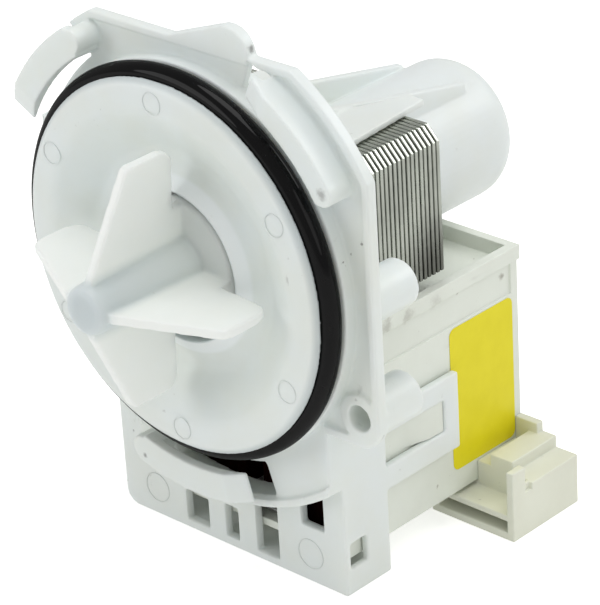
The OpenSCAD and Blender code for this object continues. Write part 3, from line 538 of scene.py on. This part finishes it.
class Paint:
    """Makes each finish's material once."""

    ROUGH_SPREAD = 0.12
    BUMP_STRENGTH = 0.6
    SCATTER_TINT = (1.0, 0.95, 0.9)

    def __init__(self, effects: EffectGroups) -> None:
        """Keeps the shared groups.

        Args:
            effects: Shared shader node groups.
        """
        self.effects = effects
        self.made: dict[str, bpy.types.Material] = {}

    def material(self, finish: Finish) -> bpy.types.Material:
        """Gives the material of a finish.

        Args:
            finish: Finish to make.

        Returns:
            Its material.
        """
        if finish.name not in self.made:
            self.made[finish.name] = self._make(finish)
        return self.made[finish.name]

    def _make(self, finish: Finish) -> bpy.types.Material:
        """Builds the nodes of one finish."""
        made = bpy.data.materials.new(finish.name)
        made.use_nodes = True
        made.diffuse_color = (*finish.light, 1.0)
        pen = NodePen(made.node_tree)
        shader = made.node_tree.nodes["Principled BSDF"]
        where = pen.add("ShaderNodeTexCoord").outputs["Object"]
        tone = self.effects.place(pen, Effect.TONE, Vector=where,
                                  Scale=1.0 / (finish.tone_size * MM))
        colour = pen.blend(tone, (*finish.light, 1.0), (*finish.dark, 1.0))
        # Painted shade and painted highlights in zones round the pump axis.
        for band in finish.painted_light_bands:
            mask = self.effects.place(pen, Effect.PAINTED_LIGHT_BAND, Vector=where, Start=band.start * MM,
                                      Full=band.full * MM, Behind=band.behind * MM)
            share = pen.math("MULTIPLY", mask, band.strength)
            colour = pen.blend(share, colour, (*band.colour, 1.0))
        if finish.scuffs > 0.0:
            mask = self.effects.place(pen, Effect.SCUFFS, Vector=where, Share=finish.scuffs)
            colour = pen.blend(mask, colour, (*finish.stain_and_shade, 1.0))
        # Dark spots; those on the core steel are a painted shadow.
        for spot in finish.grime_and_shade_spots:
            mask = self.effects.place(pen, Effect.GRIME_AND_SHADE_SPOT, Vector=where, Radius=spot.radius * MM,
                                      Centre=tuple(v * MM for v in spot.at), Ragged=spot.ragged)
            share = pen.math("MULTIPLY", mask, spot.strength)
            colour = pen.blend(share, colour, (*finish.stain_and_shade, 1.0))
        pen.join(colour, shader.inputs["Base Color"])
        uneven = pen.math("SUBTRACT", tone, NOISE_MIDDLE)
        spread = pen.math("MULTIPLY", uneven, self.ROUGH_SPREAD)
        pen.join(pen.math("ADD", spread, finish.roughness), shader.inputs["Roughness"])
        shader.inputs["Metallic"].default_value = finish.metallic
        shader.inputs["Coat Weight"].default_value = finish.coat
        shader.inputs["Specular IOR Level"].default_value = finish.shine
        shader.inputs["Subsurface Weight"].default_value = finish.subsurface
        shader.inputs["Subsurface Radius"].default_value = self.SCATTER_TINT
        shader.inputs["Subsurface Scale"].default_value = finish.scatter * MM
        self._bump(pen, finish, where, shader)
        return made

    def _bump(self, pen: NodePen, finish: Finish, where: bpy.types.NodeSocket,
              shader: bpy.types.Node) -> None:
        """Feeds the grain's height to the shader's normal."""
        turn = pen.add("ShaderNodeMapping")
        turn.inputs["Scale"].default_value = tuple(1.0 / s for s in finish.stretch)
        pen.join(where, turn.inputs["Vector"])
        height = self.effects.place(pen, Effect.GRAIN, Vector=turn.outputs[0],
                                    Scale=1.0 / (finish.grain_size * MM))
        bump = pen.add("ShaderNodeBump")
        bump.inputs["Strength"].default_value = self.BUMP_STRENGTH
        bump.inputs["Distance"].default_value = finish.grain_depth * MM
        pen.join(height, bump.inputs["Height"])
        pen.join(bump.outputs["Normal"], shader.inputs["Normal"])


class Workshop:
    """Turns CAD nodes and drawn meshes into finished pieces."""

    SHARP = math.radians(50.0)  # Smallest angle of an edge that stays sharp.
    ROUNDED = math.radians(40.0)  # Smallest angle of an edge that is rounded.
    ROUND_PROFILE = 0.5
    STRAY = 0.5  # Share of a rounding's width that a corner may leave the old surface by.
    JOIN_GAP = 0.002  # Millimetres between corners that are one.
    SMOOTH_FACTOR = 0.5

    def __init__(self, frame: dict, paint: Paint) -> None:
        """Keeps the frame and the paint.

        Args:
            paint: Maker of the materials.
        """
        self.nodes: dict[str, bpy.types.Object] = frame["nodes"]
        self.paint = paint

    def merged(self, node: str) -> bmesh.types.BMesh:
        """Copies a CAD node with its triangles joined at their corners.

        Args:
            node: Name of the CAD node.

        Returns:
            A mesh to work on.
        """
        work = bmesh.new()
        work.from_mesh(self.nodes[node].data)
        for layer in list(work.loops.layers.uv):
            work.loops.layers.uv.remove(layer)
        bmesh.ops.remove_doubles(work, verts=work.verts, dist=self.JOIN_GAP * MM)
        return work

    def soften(self, work: bmesh.types.BMesh, width: float, segments: int = 2) -> None:
        """Rounds the sharp edges of a mesh and keeps strays on the old surface.

        Args:
            work: Mesh to round.
            width: Width of the rounding in millimetres.
            segments: Number of faces across it.
        """
        old = BVHTree.FromBMesh(work)
        edges = [e for e in work.edges
                 if len(e.link_faces) == 2 and e.calc_face_angle(0.0) > self.ROUNDED]
        bmesh.ops.bevel(work, geom=edges, offset=width * MM, offset_type="OFFSET",
                        segments=segments, profile=self.ROUND_PROFILE, affect="EDGES",
                        clamp_overlap=False, loop_slide=False)
        for vert in work.verts:
            near, _, _, gap = old.find_nearest(vert.co)
            if near is not None and gap > self.STRAY * width * MM:
                vert.co = near

    def moulded(self, node: str, cell: float, rounds: int, kept: float) -> bpy.types.Mesh:
        """Rounds a CAD node all over, as a mould leaves it.

        Args:
            node: Name of the CAD node.
            cell: Size of the cells that the shape is drawn again with, in millimetres.
            rounds: Number of smoothing rounds.
            kept: Share of the faces that is kept.

        Returns:
            The soft mesh.
        """
        mesh = bpy.data.meshes.new(f"soft_{node}")
        work = self.merged(node)
        work.to_mesh(mesh)
        work.free()
        host = bpy.data.objects.new(f"soft_{node}", mesh)
        bpy.context.scene.collection.objects.link(host)
        remesh = host.modifiers.new("cells", "REMESH")
        remesh.mode = "VOXEL"
        remesh.voxel_size = cell * MM
        smooth = host.modifiers.new("smooth", "SMOOTH")
        smooth.factor = self.SMOOTH_FACTOR
        smooth.iterations = rounds
        thin = host.modifiers.new("thin", "DECIMATE")
        thin.ratio = kept
        soft = self.flattened(host).data.copy()
        bpy.data.objects.remove(host)
        return soft

    def piece(self, name: str, work: bmesh.types.BMesh, finish: Finish, body: Body,
              stands_for: Sequence[str] = ()) -> bpy.types.Object:
        """Makes an object of a mesh and puts it on its body.

        Args:
            name: Name of the piece.
            work: Finished mesh, which is freed.
            finish: Its finish.
            body: Body that it rides on.
            stands_for: CAD nodes that it replaces.

        Returns:
            The new object.
        """
        mesh = bpy.data.meshes.new(name)
        work.to_mesh(mesh)
        work.free()
        return self.adopt(name, mesh, finish, body, stands_for)

    def adopt(self, name: str, mesh: bpy.types.Mesh, finish: Finish, body: Body,
              stands_for: Sequence[str] = (), sharp: float = SHARP) -> bpy.types.Object:
        """Finishes a mesh as a piece.

        Args:
            name: Name of the piece.
            mesh: Its mesh.
            finish: Its finish.
            body: Body that it rides on.
            stands_for: CAD nodes that it replaces.
            sharp: Smallest angle of an edge that stays sharp, in radians.

        Returns:
            The new object.
        """
        mesh.materials.clear()
        mesh.materials.append(self.paint.material(finish))
        mesh.shade_smooth()
        mesh.set_sharp_from_angle(angle=sharp)
        made = bpy.data.objects.new(name, mesh)
        bpy.context.scene.collection.objects.link(made)
        made = self.flattened(made, "WEIGHTED_NORMAL")
        made.name = name
        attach(made, body.value)
        if stands_for:
            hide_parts(*stands_for)
        LOG.info("%s: %d faces on %s", name, len(made.data.polygons), body.value)
        return made

    @staticmethod
    def flattened(made: bpy.types.Object, modifier: Optional[str] = None) -> bpy.types.Object:
        """Turns an object's modifiers into its plain mesh.

        Args:
            made: Object to flatten.
            modifier: Type of a modifier to add first, or None.

        Returns:
            The same object.
        """
        if modifier:
            made.modifiers.new(modifier.lower(), modifier).keep_sharp = True
        seen = made.evaluated_get(bpy.context.evaluated_depsgraph_get())
        mesh = bpy.data.meshes.new_from_object(seen)
        made.modifiers.clear()
        old, made.data = made.data, mesh
        mesh.name = old.name
        bpy.data.meshes.remove(old)
        return made

    def coat(self, node: str, finish: Finish) -> None:
        """Gives a CAD node its material."""
        data = self.nodes[node].data
        data.materials.clear()
        data.materials.append(self.paint.material(finish))


class Grower:
    """Builds geometry node trees and turns their result into plain meshes."""

    def __init__(self, paint: Paint) -> None:
        """Keeps the paint.

        Args:
            paint: Maker of the materials.
        """
        self.paint = paint

    @staticmethod
    def tree(name: str, inputs: Sequence[tuple[str, str]]) -> tuple[NodePen, bpy.types.Node]:
        """Makes an empty tree with named inputs.

        Args:
            name: Name of the tree.
            inputs: Names and socket types.

        Returns:
            A pen and the input node.
        """
        tree = bpy.data.node_groups.new(name, "GeometryNodeTree")
        tree.interface.new_socket("Geometry", in_out="INPUT", socket_type="NodeSocketGeometry")
        for label, kind in inputs:
            tree.interface.new_socket(label, in_out="INPUT", socket_type=kind)
        tree.interface.new_socket("Geometry", in_out="OUTPUT", socket_type="NodeSocketGeometry")
        pen = NodePen(tree)
        return pen, pen.add("NodeGroupInput")

    @staticmethod
    def circle(pen: NodePen, steps: int, radius: object) -> bpy.types.NodeSocket:
        """Adds a circle.

        Args:
            pen: Pen of the tree.
            steps: Number of points on the circle.
            radius: Socket or number.

        Returns:
            The curve's socket.
        """
        node = pen.add("GeometryNodeCurvePrimitiveCircle", mode="RADIUS")
        node.inputs["Resolution"].default_value = steps
        pen.feed(radius, node.inputs["Radius"])
        return node.outputs["Curve"]

    def close(self, pen: NodePen, shape: bpy.types.NodeSocket, finish: Finish) -> None:
        """Ends a tree with Realize Instances and Set Material."""
        real = pen.add("GeometryNodeRealizeInstances")
        dye = pen.add("GeometryNodeSetMaterial")
        dye.inputs["Material"].default_value = self.paint.material(finish)
        pen.join(shape, real.inputs[0])
        pen.join(real.outputs[0], dye.inputs["Geometry"])
        pen.join(dye.outputs[0], pen.add("NodeGroupOutput").inputs[0])

    @staticmethod
    def grow(tree: bpy.types.NodeTree, seed_mesh: bpy.types.Mesh,
             values: dict[str, object]) -> bpy.types.Mesh:
        """Runs a tree on a mesh.

        Args:
            tree: Geometry node tree.
            seed_mesh: Mesh that the tree starts from.
            values: Value of each named input.

        Returns:
            The result as a plain mesh.
        """
        host = bpy.data.objects.new(tree.name, seed_mesh)
        bpy.context.scene.collection.objects.link(host)
        modifier = host.modifiers.new(tree.name, "NODES")
        modifier.node_group = tree
        for item in tree.interface.items_tree:
            if item.in_out == "INPUT" and item.name in values:
                modifier[item.identifier] = values[item.name]
        seen = host.evaluated_get(bpy.context.evaluated_depsgraph_get())
        mesh = bpy.data.meshes.new_from_object(seen)
        host.modifiers.clear()
        bpy.data.objects.remove(host)
        return mesh


@dataclass
class PumpCover:
    """White moulding with the disc, the flange, the hooks, the can and the box.

    Attributes:
        cell: Size of the cells that the shape is drawn again with, in millimetres.
        rounds: Number of smoothing rounds.
        kept: Share of the faces that is kept.
        mark_radius: Radius that the disc's pin marks lie on, in millimetres.
        mark_count: Number of marks on the disc.
        mark_turn: Angle of the first mark, in degrees.
        mark_size: Radius of a mark on the disc, in millimetres.
        mark_wall: Radius of a mark's raised line, in millimetres.
        mark_steps: Number of points round a mark.
        wall_steps: Number of points round its raised line.
        face_y: Place of the disc's face along the axis, in millimetres.
        wall_marks: Places of the marks on the box, in millimetres.
        wall_mark_size: Radius of a mark on the box, in millimetres.
    """

    cell: float = 0.25
    rounds: int = 9
    kept: float = 0.12
    mark_radius: float = 31.6
    mark_count: int = 6
    mark_turn: float = 31.0
    mark_size: float = 2.1
    mark_wall: float = 0.11
    mark_steps: int = 40
    wall_steps: int = 6
    face_y: float = -1.4
    wall_marks: tuple[Place, ...] = ((-19.8, 10.0, -56.4), (19.8, 10.0, -56.4))
    wall_mark_size: float = 3.0

    def build(self, shop: Workshop, grower: Grower) -> None:
        """Builds the cover and its moulding marks.

        Args:
            shop: Workshop that makes the pieces.
            grower: Maker of what repeats.
        """
        soft = shop.moulded("pump_cover", self.cell, self.rounds, self.kept)
        shop.adopt("cover_moulding", soft, COVER_WHITE, Body.PUMP, ("pump_cover",))
        self._marks(shop, grower)

    def _marks(self, shop: Workshop, grower: Grower) -> None:
        """Builds the rings that the mould's ejector pins left."""
        pen, ins = grower.tree("ejector_rings", (("Wall", "NodeSocketFloat"),))
        lie = pen.add("GeometryNodeTransform")
        lie.inputs["Rotation"].default_value = ROUND_AXIS
        tube = pen.add("GeometryNodeCurveToMesh")
        size = pen.add("GeometryNodeInputNamedAttribute", data_type="FLOAT")
        size.inputs["Name"].default_value = "size"
        spots = pen.add("GeometryNodeInstanceOnPoints")
        pen.join(grower.circle(pen, self.mark_steps, 1.0), lie.inputs["Geometry"])
        pen.join(ins.outputs["Geometry"], spots.inputs["Points"])
        pen.join(lie.outputs[0], spots.inputs["Instance"])
        pen.join(size.outputs["Attribute"], spots.inputs["Scale"])
        real = pen.add("GeometryNodeRealizeInstances")
        pen.join(spots.outputs[0], real.inputs[0])
        pen.join(real.outputs[0], tube.inputs["Curve"])
        wire = grower.circle(pen, self.wall_steps, ins.outputs["Wall"])
        pen.join(wire, tube.inputs["Profile Curve"])
        grower.close(pen, tube.outputs[0], COVER_WHITE)
        mesh = grower.grow(pen.tree, self._mark_points(), {"Wall": self.mark_wall * MM})
        shop.adopt("ejector_marks", mesh, COVER_WHITE, Body.PUMP)

    def _mark_points(self) -> bpy.types.Mesh:
        """Draws one point for each mark, with its size.

        Returns:
            A mesh of loose points.
        """
        turns = [math.radians(self.mark_turn + 360.0 * i / self.mark_count)
                 for i in range(self.mark_count)]
        spots = [(self.mark_radius * math.cos(a), self.face_y, self.mark_radius * math.sin(a))
                 for a in turns]
        sizes = [self.mark_size] * len(spots) + [self.wall_mark_size] * len(self.wall_marks)
        mesh = bpy.data.meshes.new("mark_points")
        mesh.from_pydata([tuple(v * MM for v in p) for p in [*spots, *self.wall_marks]], [], [])
        store = mesh.attributes.new("size", "FLOAT", "POINT")
        store.data.foreach_set("value", [s * MM for s in sizes])
        return mesh


@dataclass
class SealRing:
    """Black rubber ring in the groove behind the disc.

    Attributes:
        ring_radius: Radius of the ring's middle line, in millimetres.
        section: Radius of its round section, in millimetres.
        along: Place of its middle along the axis, in millimetres.
        path_steps: Number of points on the middle line.
        section_steps: Number of points round the section.
    """

    ring_radius: float = 35.61
    section: float = 2.0
    along: float = 2.05
    path_steps: int = 240
    section_steps: int = 32

    def build(self, shop: Workshop, grower: Grower) -> None:
        """Sweeps the ring's section round the pump axis.

        Args:
            shop: Workshop that makes the pieces.
            grower: Maker of what follows a path.
        """
        pen, ins = grower.tree(
            "seal_sweep", (("Radius", "NodeSocketFloat"), ("Section", "NodeSocketFloat")))
        path = grower.circle(pen, self.path_steps, ins.outputs["Radius"])
        section = grower.circle(pen, self.section_steps, ins.outputs["Section"])
        tube = pen.add("GeometryNodeCurveToMesh")
        pen.join(path, tube.inputs["Curve"])
        pen.join(section, tube.inputs["Profile Curve"])
        lie = pen.add("GeometryNodeTransform")
        lie.inputs["Rotation"].default_value = ROUND_AXIS
        lie.inputs["Translation"].default_value = (0.0, self.along * MM, 0.0)
        pen.join(tube.outputs[0], lie.inputs["Geometry"])
        grower.close(pen, lie.outputs[0], SEAL_BLACK)
        mesh = grower.grow(pen.tree, bpy.data.meshes.new("seal_start"),
                           {"Radius": self.ring_radius * MM, "Section": self.section * MM})
        work = bmesh.new()
        work.from_mesh(mesh)
        bmesh.ops.recalc_face_normals(work, faces=work.faces)
        shop.piece("seal_loop", work, SEAL_BLACK, Body.PUMP, ("seal_ring",))


@dataclass
class CorePlates:
    """Stacks of stamped plates on both sides of the can, and their rivets.

    Attributes:
        count: Number of plates in a stack.
        first: Place of the front plate along the axis, in millimetres.
        pitch: Step from plate to plate, in millimetres.
        gauge: Thickness of a plate, in millimetres.
        reach: Share of the pitch within which the front plate's corners lie.
        edge: Width of the plates' rounding, in millimetres.
        wobble: Unevenness of the plates' seats, in millimetres.
        least: Lowest share of the wobble along X, Y and Z.
        most: Highest share of the wobble along X, Y and Z.
        sharp: Smallest angle of an edge that stays sharp, in radians.
        corner: X and Z of the chamfer's upper corner in the CAD, in millimetres.
        near: Distance within which a point counts as that corner, in millimetres.
        wider: How much wider the chamfer is drawn, in millimetres.
    """

    count: int = 16
    first: float = 25.8
    pitch: float = 1.1625
    gauge: float = 0.84
    reach: float = 0.99
    edge: float = 0.2
    wobble: float = 0.05
    least: Place = (-1.0, 0.0, -0.4)
    most: Place = (1.0, 0.0, 0.0)
    sharp: float = math.radians(20.0)
    corner: tuple[float, float] = (23.0, 17.8)
    near: float = 0.2
    wider: float = 0.8

    def build(self, shop: Workshop, grower: Grower) -> None:
        """Builds the plates of both limbs and the yoke.

        Args:
            shop: Workshop that makes the pieces.
            grower: Maker of what repeats.
        """
        for index, node in enumerate(("core_limb_left", "core_limb_right", "core_yoke")):
            plate = self._one_plate(shop, node)
            tree = self._stack_tree(grower, f"stack_{node}", index)
            mesh = grower.grow(tree, plate, {"Count": self.count, "Pitch": self.pitch * MM,
                                             "Wobble": self.wobble * MM})
            shop.adopt(f"plates_{node}", mesh, CORE_STEEL, Body.PUMP, (node,), self.sharp)
        shop.coat("core_rivets", BRIGHT_STEEL)

    def _one_plate(self, shop: Workshop, node: str) -> bpy.types.Mesh:
        """Cuts the front plate out of a stack, widens its chamfer and rounds its edges.

        Args:
            shop: Workshop that makes the pieces.
            node: CAD node of the stack.

        Returns:
            The plate's mesh.
        """
        work = shop.merged(node)
        limit = (self.first + self.reach * self.pitch) * MM
        far = [v for v in work.verts if v.co.y > limit]
        bmesh.ops.delete(work, geom=far, context="VERTS")
        for vert in work.verts:
            vert.co.y = min(vert.co.y, (self.first + self.gauge) * MM)
            off = Vector((abs(vert.co.x), vert.co.z)) - Vector(self.corner) * MM
            if off.length < self.near * MM:
                vert.co.x -= math.copysign(self.wider * MM, vert.co.x)
        shop.soften(work, self.edge)
        mesh = bpy.data.meshes.new(f"plate_{node}")
        work.to_mesh(mesh)
        work.free()
        return mesh

    def _stack_tree(self, grower: Grower, name: str, seed: int) -> bpy.types.NodeTree:
        """Builds the tree that repeats a plate along the pump axis.

        Args:
            grower: Maker of what repeats.
            name: Name of the tree.
            seed: Seed of the plates' uneven seats.

        Returns:
            The tree.
        """
        pen, ins = grower.tree(name, (("Count", "NodeSocketInt"), ("Pitch", "NodeSocketFloat"),
                                      ("Wobble", "NodeSocketFloat")))
        step = pen.add("ShaderNodeCombineXYZ")
        pen.join(ins.outputs["Pitch"], step.inputs["Y"])
        row = pen.add("GeometryNodeMeshLine")
        pen.join(ins.outputs["Count"], row.inputs["Count"])
        pen.join(step.outputs[0], row.inputs["Offset"])
        chance = pen.add("FunctionNodeRandomValue", data_type="FLOAT_VECTOR")
        chance.inputs["Min"].default_value = self.least
        chance.inputs["Max"].default_value = self.most
        chance.inputs["Seed"].default_value = seed
        shift = pen.add("ShaderNodeVectorMath", operation="SCALE")
        pen.join(chance.outputs[0], shift.inputs[0])
        pen.join(ins.outputs["Wobble"], shift.inputs["Scale"])
        move = pen.add("GeometryNodeSetPosition")
        pen.join(row.outputs[0], move.inputs["Geometry"])
        pen.join(shift.outputs[0], move.inputs["Offset"])
        copies = pen.add("GeometryNodeInstanceOnPoints")
        pen.join(move.outputs[0], copies.inputs["Points"])
        pen.join(ins.outputs["Geometry"], copies.inputs["Instance"])
        grower.close(pen, copies.outputs[0], CORE_STEEL)
        return pen.tree


@dataclass
class Impeller:
    """Milky hub with its back plate and four vanes, moulded with soft edges.

    Attributes:
        cell: Size of the cells that the shape is drawn again with, in millimetres.
        rounds: Number of smoothing rounds.
        kept: Share of the faces that is kept.
    """

    cell: float = 0.26
    rounds: int = 9
    kept: float = 0.45

    def build(self, shop: Workshop) -> None:
        """Rounds the CAD shape all over.

        Args:
            shop: Workshop that makes the pieces.
        """
        soft = shop.moulded("impeller", self.cell, self.rounds, self.kept)
        shop.adopt("impeller_moulding", soft, VANE_MILK, Body.IMPELLER, ("impeller",))


@dataclass
class PlainPieces:
    """Pieces that keep their CAD shape, some with softened edges.

    Attributes:
        edges: Width of the rounding of each node that has one, in millimetres.
        wide: Width above which a rounding has more faces across it, in millimetres.
        wide_segments: Number of faces across such a rounding.
    """

    edges: dict[str, float] = field(default_factory=lambda: {
        "coil_case": 0.18, "connector_housing": 0.25, "rating_label": 0.03,
        "bearing_carrier": 0.2, "shaft": 0.25, "magnet_hub": 0.15, "rotor_magnet": 0.3,
        "terminal_blades": 0.12, "thermal_cutout": 0.3})
    wide: float = 0.25
    wide_segments: int = 3

    def build(self, shop: Workshop) -> None:
        """Builds each piece.

        Args:
            shop: Workshop that makes the pieces.
        """
        for node, finish, body in self._list():
            work = shop.merged(node)
            width = self.edges.get(node, 0.0)
            if width > self.wide:
                shop.soften(work, width, self.wide_segments)
            elif width > 0.0:
                shop.soften(work, width)
            shop.piece(f"dressed_{node}", work, finish, body, (node,))

    @staticmethod
    def _list() -> list[tuple[str, Finish, Body]]:
        """Lists the nodes with their finishes and bodies."""
        still = {
            "coil_case": CASE_CREAM, "connector_housing": SOCKET_CREAM,
            "rating_label": LABEL_YELLOW,
            "bearing_carrier": CARRIER_GREY, "shaft_seal": SEAL_BLACK, "front_bearing": BUSH_BRONZE,
            "rear_bearing": BUSH_BRONZE, "bearing_cushion": SEAL_BLACK, "bobbin_left": CARRIER_GREY,
            "bobbin_right": CARRIER_GREY, "winding_left": WINDING_COPPER,
            "winding_right": WINDING_COPPER, "coil_tape_left": TAPE_BROWN,
            "coil_tape_right": TAPE_BROWN, "thermal_cutout": DARK_PLASTIC, "lead_wires": LEAD_RED,
            "terminal_blades": BRIGHT_STEEL}
        turning = {
            "shaft": BRIGHT_STEEL, "driven_dog": CARRIER_GREY,
            "dog_buffer": SEAL_BLACK, "thrust_washer_front": DARK_PLASTIC,
            "thrust_washer_rear": DARK_PLASTIC}
        magnet = {"rotor_magnet": FERRITE, "magnet_hub": CARRIER_GREY}
        groups = ((Body.PUMP, still), (Body.IMPELLER, turning), (Body.MAGNET, magnet))
        return [(node, finish, body)
                for body, group in groups for node, finish in group.items()]


@dataclass
class Studio:
    """Camera, floor and soft light.

    Attributes:
        azimuth: Direction of the view round the upright axis, in radians.
        elevation: Height angle of the camera, in radians.
        roll: Turn of the picture, in radians.
        focal_px: Focal length in picture points.
        camera_mm: Place of the camera in millimetres.
        frame_px: Width and height of the picture.
        sensor_mm: Width of the camera's sensor in millimetres.
        clip_m: Nearest and farthest distance that the camera sees, in metres.
        floor_half: Half of the floor's width in metres.
        floor_colour: Colour of the floor, linear.
        floor_rough: Roughness of the floor.
        glow_colour: Colour of the floor's own light, linear.
        sky: Strength of the sky.
        glow: Strength of the floor's own light that only the camera sees.
        bounce: Strength of the floor's own light that everything sees.
        lamps: Name, place in metres, size in metres and power of each soft box.
    """

    azimuth: float = 0.7752947
    elevation: float = 0.4657971
    roll: float = -0.0613837
    focal_px: float = 3065.98
    camera_mm: Place = (355.394, -331.244, 235.542)
    frame_px: tuple[int, int] = (600, 605)
    sensor_mm: float = 36.0
    clip_m: tuple[float, float] = (0.01, 20.0)
    floor_half: float = 3.0
    floor_colour: Colour = (0.8, 0.8, 0.79)
    floor_rough: float = 0.9
    glow_colour: Colour = (1.0, 1.0, 0.99)
    sky: float = 0.45
    glow: float = 0.4
    bounce: float = 0.2
    lamps: tuple[tuple[str, Place, float, float], ...] = (
        ("overhead_box", (0.0, 0.0, 0.97), 0.7, 3.8),
        ("rear_box", (0.45, 0.66, 0.6), 0.45, 2.0),
        ("right_box", (0.9, -0.2, 0.4), 0.6, 0.9),
        ("front_box_light", (-0.6, -0.85, 0.35), 0.7, 2.5))

    def build(self, low: Vector) -> None:
        """Builds the studio round the object.

        Args:
            low: Lowest corner of the object.
        """
        self._camera()
        self._floor(low.z)
        self._light()

    def _camera(self) -> None:
        """Makes the camera at the photograph's view."""
        az, el, roll = self.azimuth, self.elevation, self.roll
        ahead = Vector((-math.sin(az) * math.cos(el), math.cos(az) * math.cos(el), -math.sin(el)))
        right = ahead.cross(Vector((0.0, 0.0, 1.0))).normalized()
        above = right.cross(ahead)
        across = math.cos(roll) * right + math.sin(roll) * above
        upward = -math.sin(roll) * right + math.cos(roll) * above
        turn = Matrix((across, upward, -ahead)).transposed().to_4x4()
        data = bpy.data.cameras.new("photo_camera")
        data.sensor_width = self.sensor_mm
        data.lens = self.focal_px * self.sensor_mm / max(self.frame_px)
        data.clip_start, data.clip_end = self.clip_m
        made = bpy.data.objects.new("photo_camera", data)
        bpy.context.scene.collection.objects.link(made)
        made.matrix_world = Matrix.Translation(Vector(self.camera_mm) * MM) @ turn
        bpy.context.scene.camera = made

    def _floor(self, height: float) -> None:
        """Lays the pale floor.

        Args:
            height: Height of the floor in metres.
        """
        half = self.floor_half
        mesh = bpy.data.meshes.new("floor")
        corners = ((-half, -half), (half, -half), (half, half), (-half, half))
        mesh.from_pydata([(x, y, height) for x, y in corners], [], [(0, 1, 2, 3)])
        made = bpy.data.materials.new("pale_floor")
        made.use_nodes = True
        shader = made.node_tree.nodes["Principled BSDF"]
        shader.inputs["Base Color"].default_value = (*self.floor_colour, 1.0)
        shader.inputs["Roughness"].default_value = self.floor_rough
        shader.inputs["Emission Color"].default_value = (*self.glow_colour, 1.0)
        pen = NodePen(made.node_tree)
        seen = pen.add("ShaderNodeLightPath").outputs["Is Camera Ray"]
        glow = pen.math("ADD", pen.math("MULTIPLY", seen, self.glow), self.bounce)
        pen.join(glow, shader.inputs["Emission Strength"])
        mesh.materials.append(made)
        floor = bpy.data.objects.new("floor", mesh)
        bpy.context.scene.collection.objects.link(floor)
        floor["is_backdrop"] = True

    def _light(self) -> None:
        """Hangs the soft boxes and sets the sky and the view."""
        scene = bpy.context.scene
        world = bpy.data.worlds.new("studio_sky")
        world.use_nodes = True
        sky = world.node_tree.nodes["Background"]
        sky.inputs["Color"].default_value = (1.0, 1.0, 1.0, 1.0)
        sky.inputs["Strength"].default_value = self.sky
        scene.world = world
        for name, place, size, power in self.lamps:
            data = bpy.data.lights.new(name, "AREA")
            data.shape = "DISK"
            data.size = size
            data.energy = power
            lamp = bpy.data.objects.new(name, data)
            scene.collection.objects.link(lamp)
            lamp.location = place
            lamp.rotation_euler = (-Vector(place)).to_track_quat("-Z", "Y").to_euler()
        scene.view_settings.view_transform = "Standard"
        scene.view_settings.look = "None"


def main() -> None:
    """Builds the pump and its studio."""
    logging.basicConfig(level=logging.INFO, format="%(name)s: %(message)s")
    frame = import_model()
    cad_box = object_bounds()
    paint = Paint(EffectGroups())
    shop, grower = Workshop(frame, paint), Grower(paint)
    Studio().build(cad_box[0])
    PumpCover().build(shop, grower)
    SealRing().build(shop, grower)
    CorePlates().build(shop, grower)
    Impeller().build(shop)
    PlainPieces().build(shop)


if __name__ == "__main__":
    main()
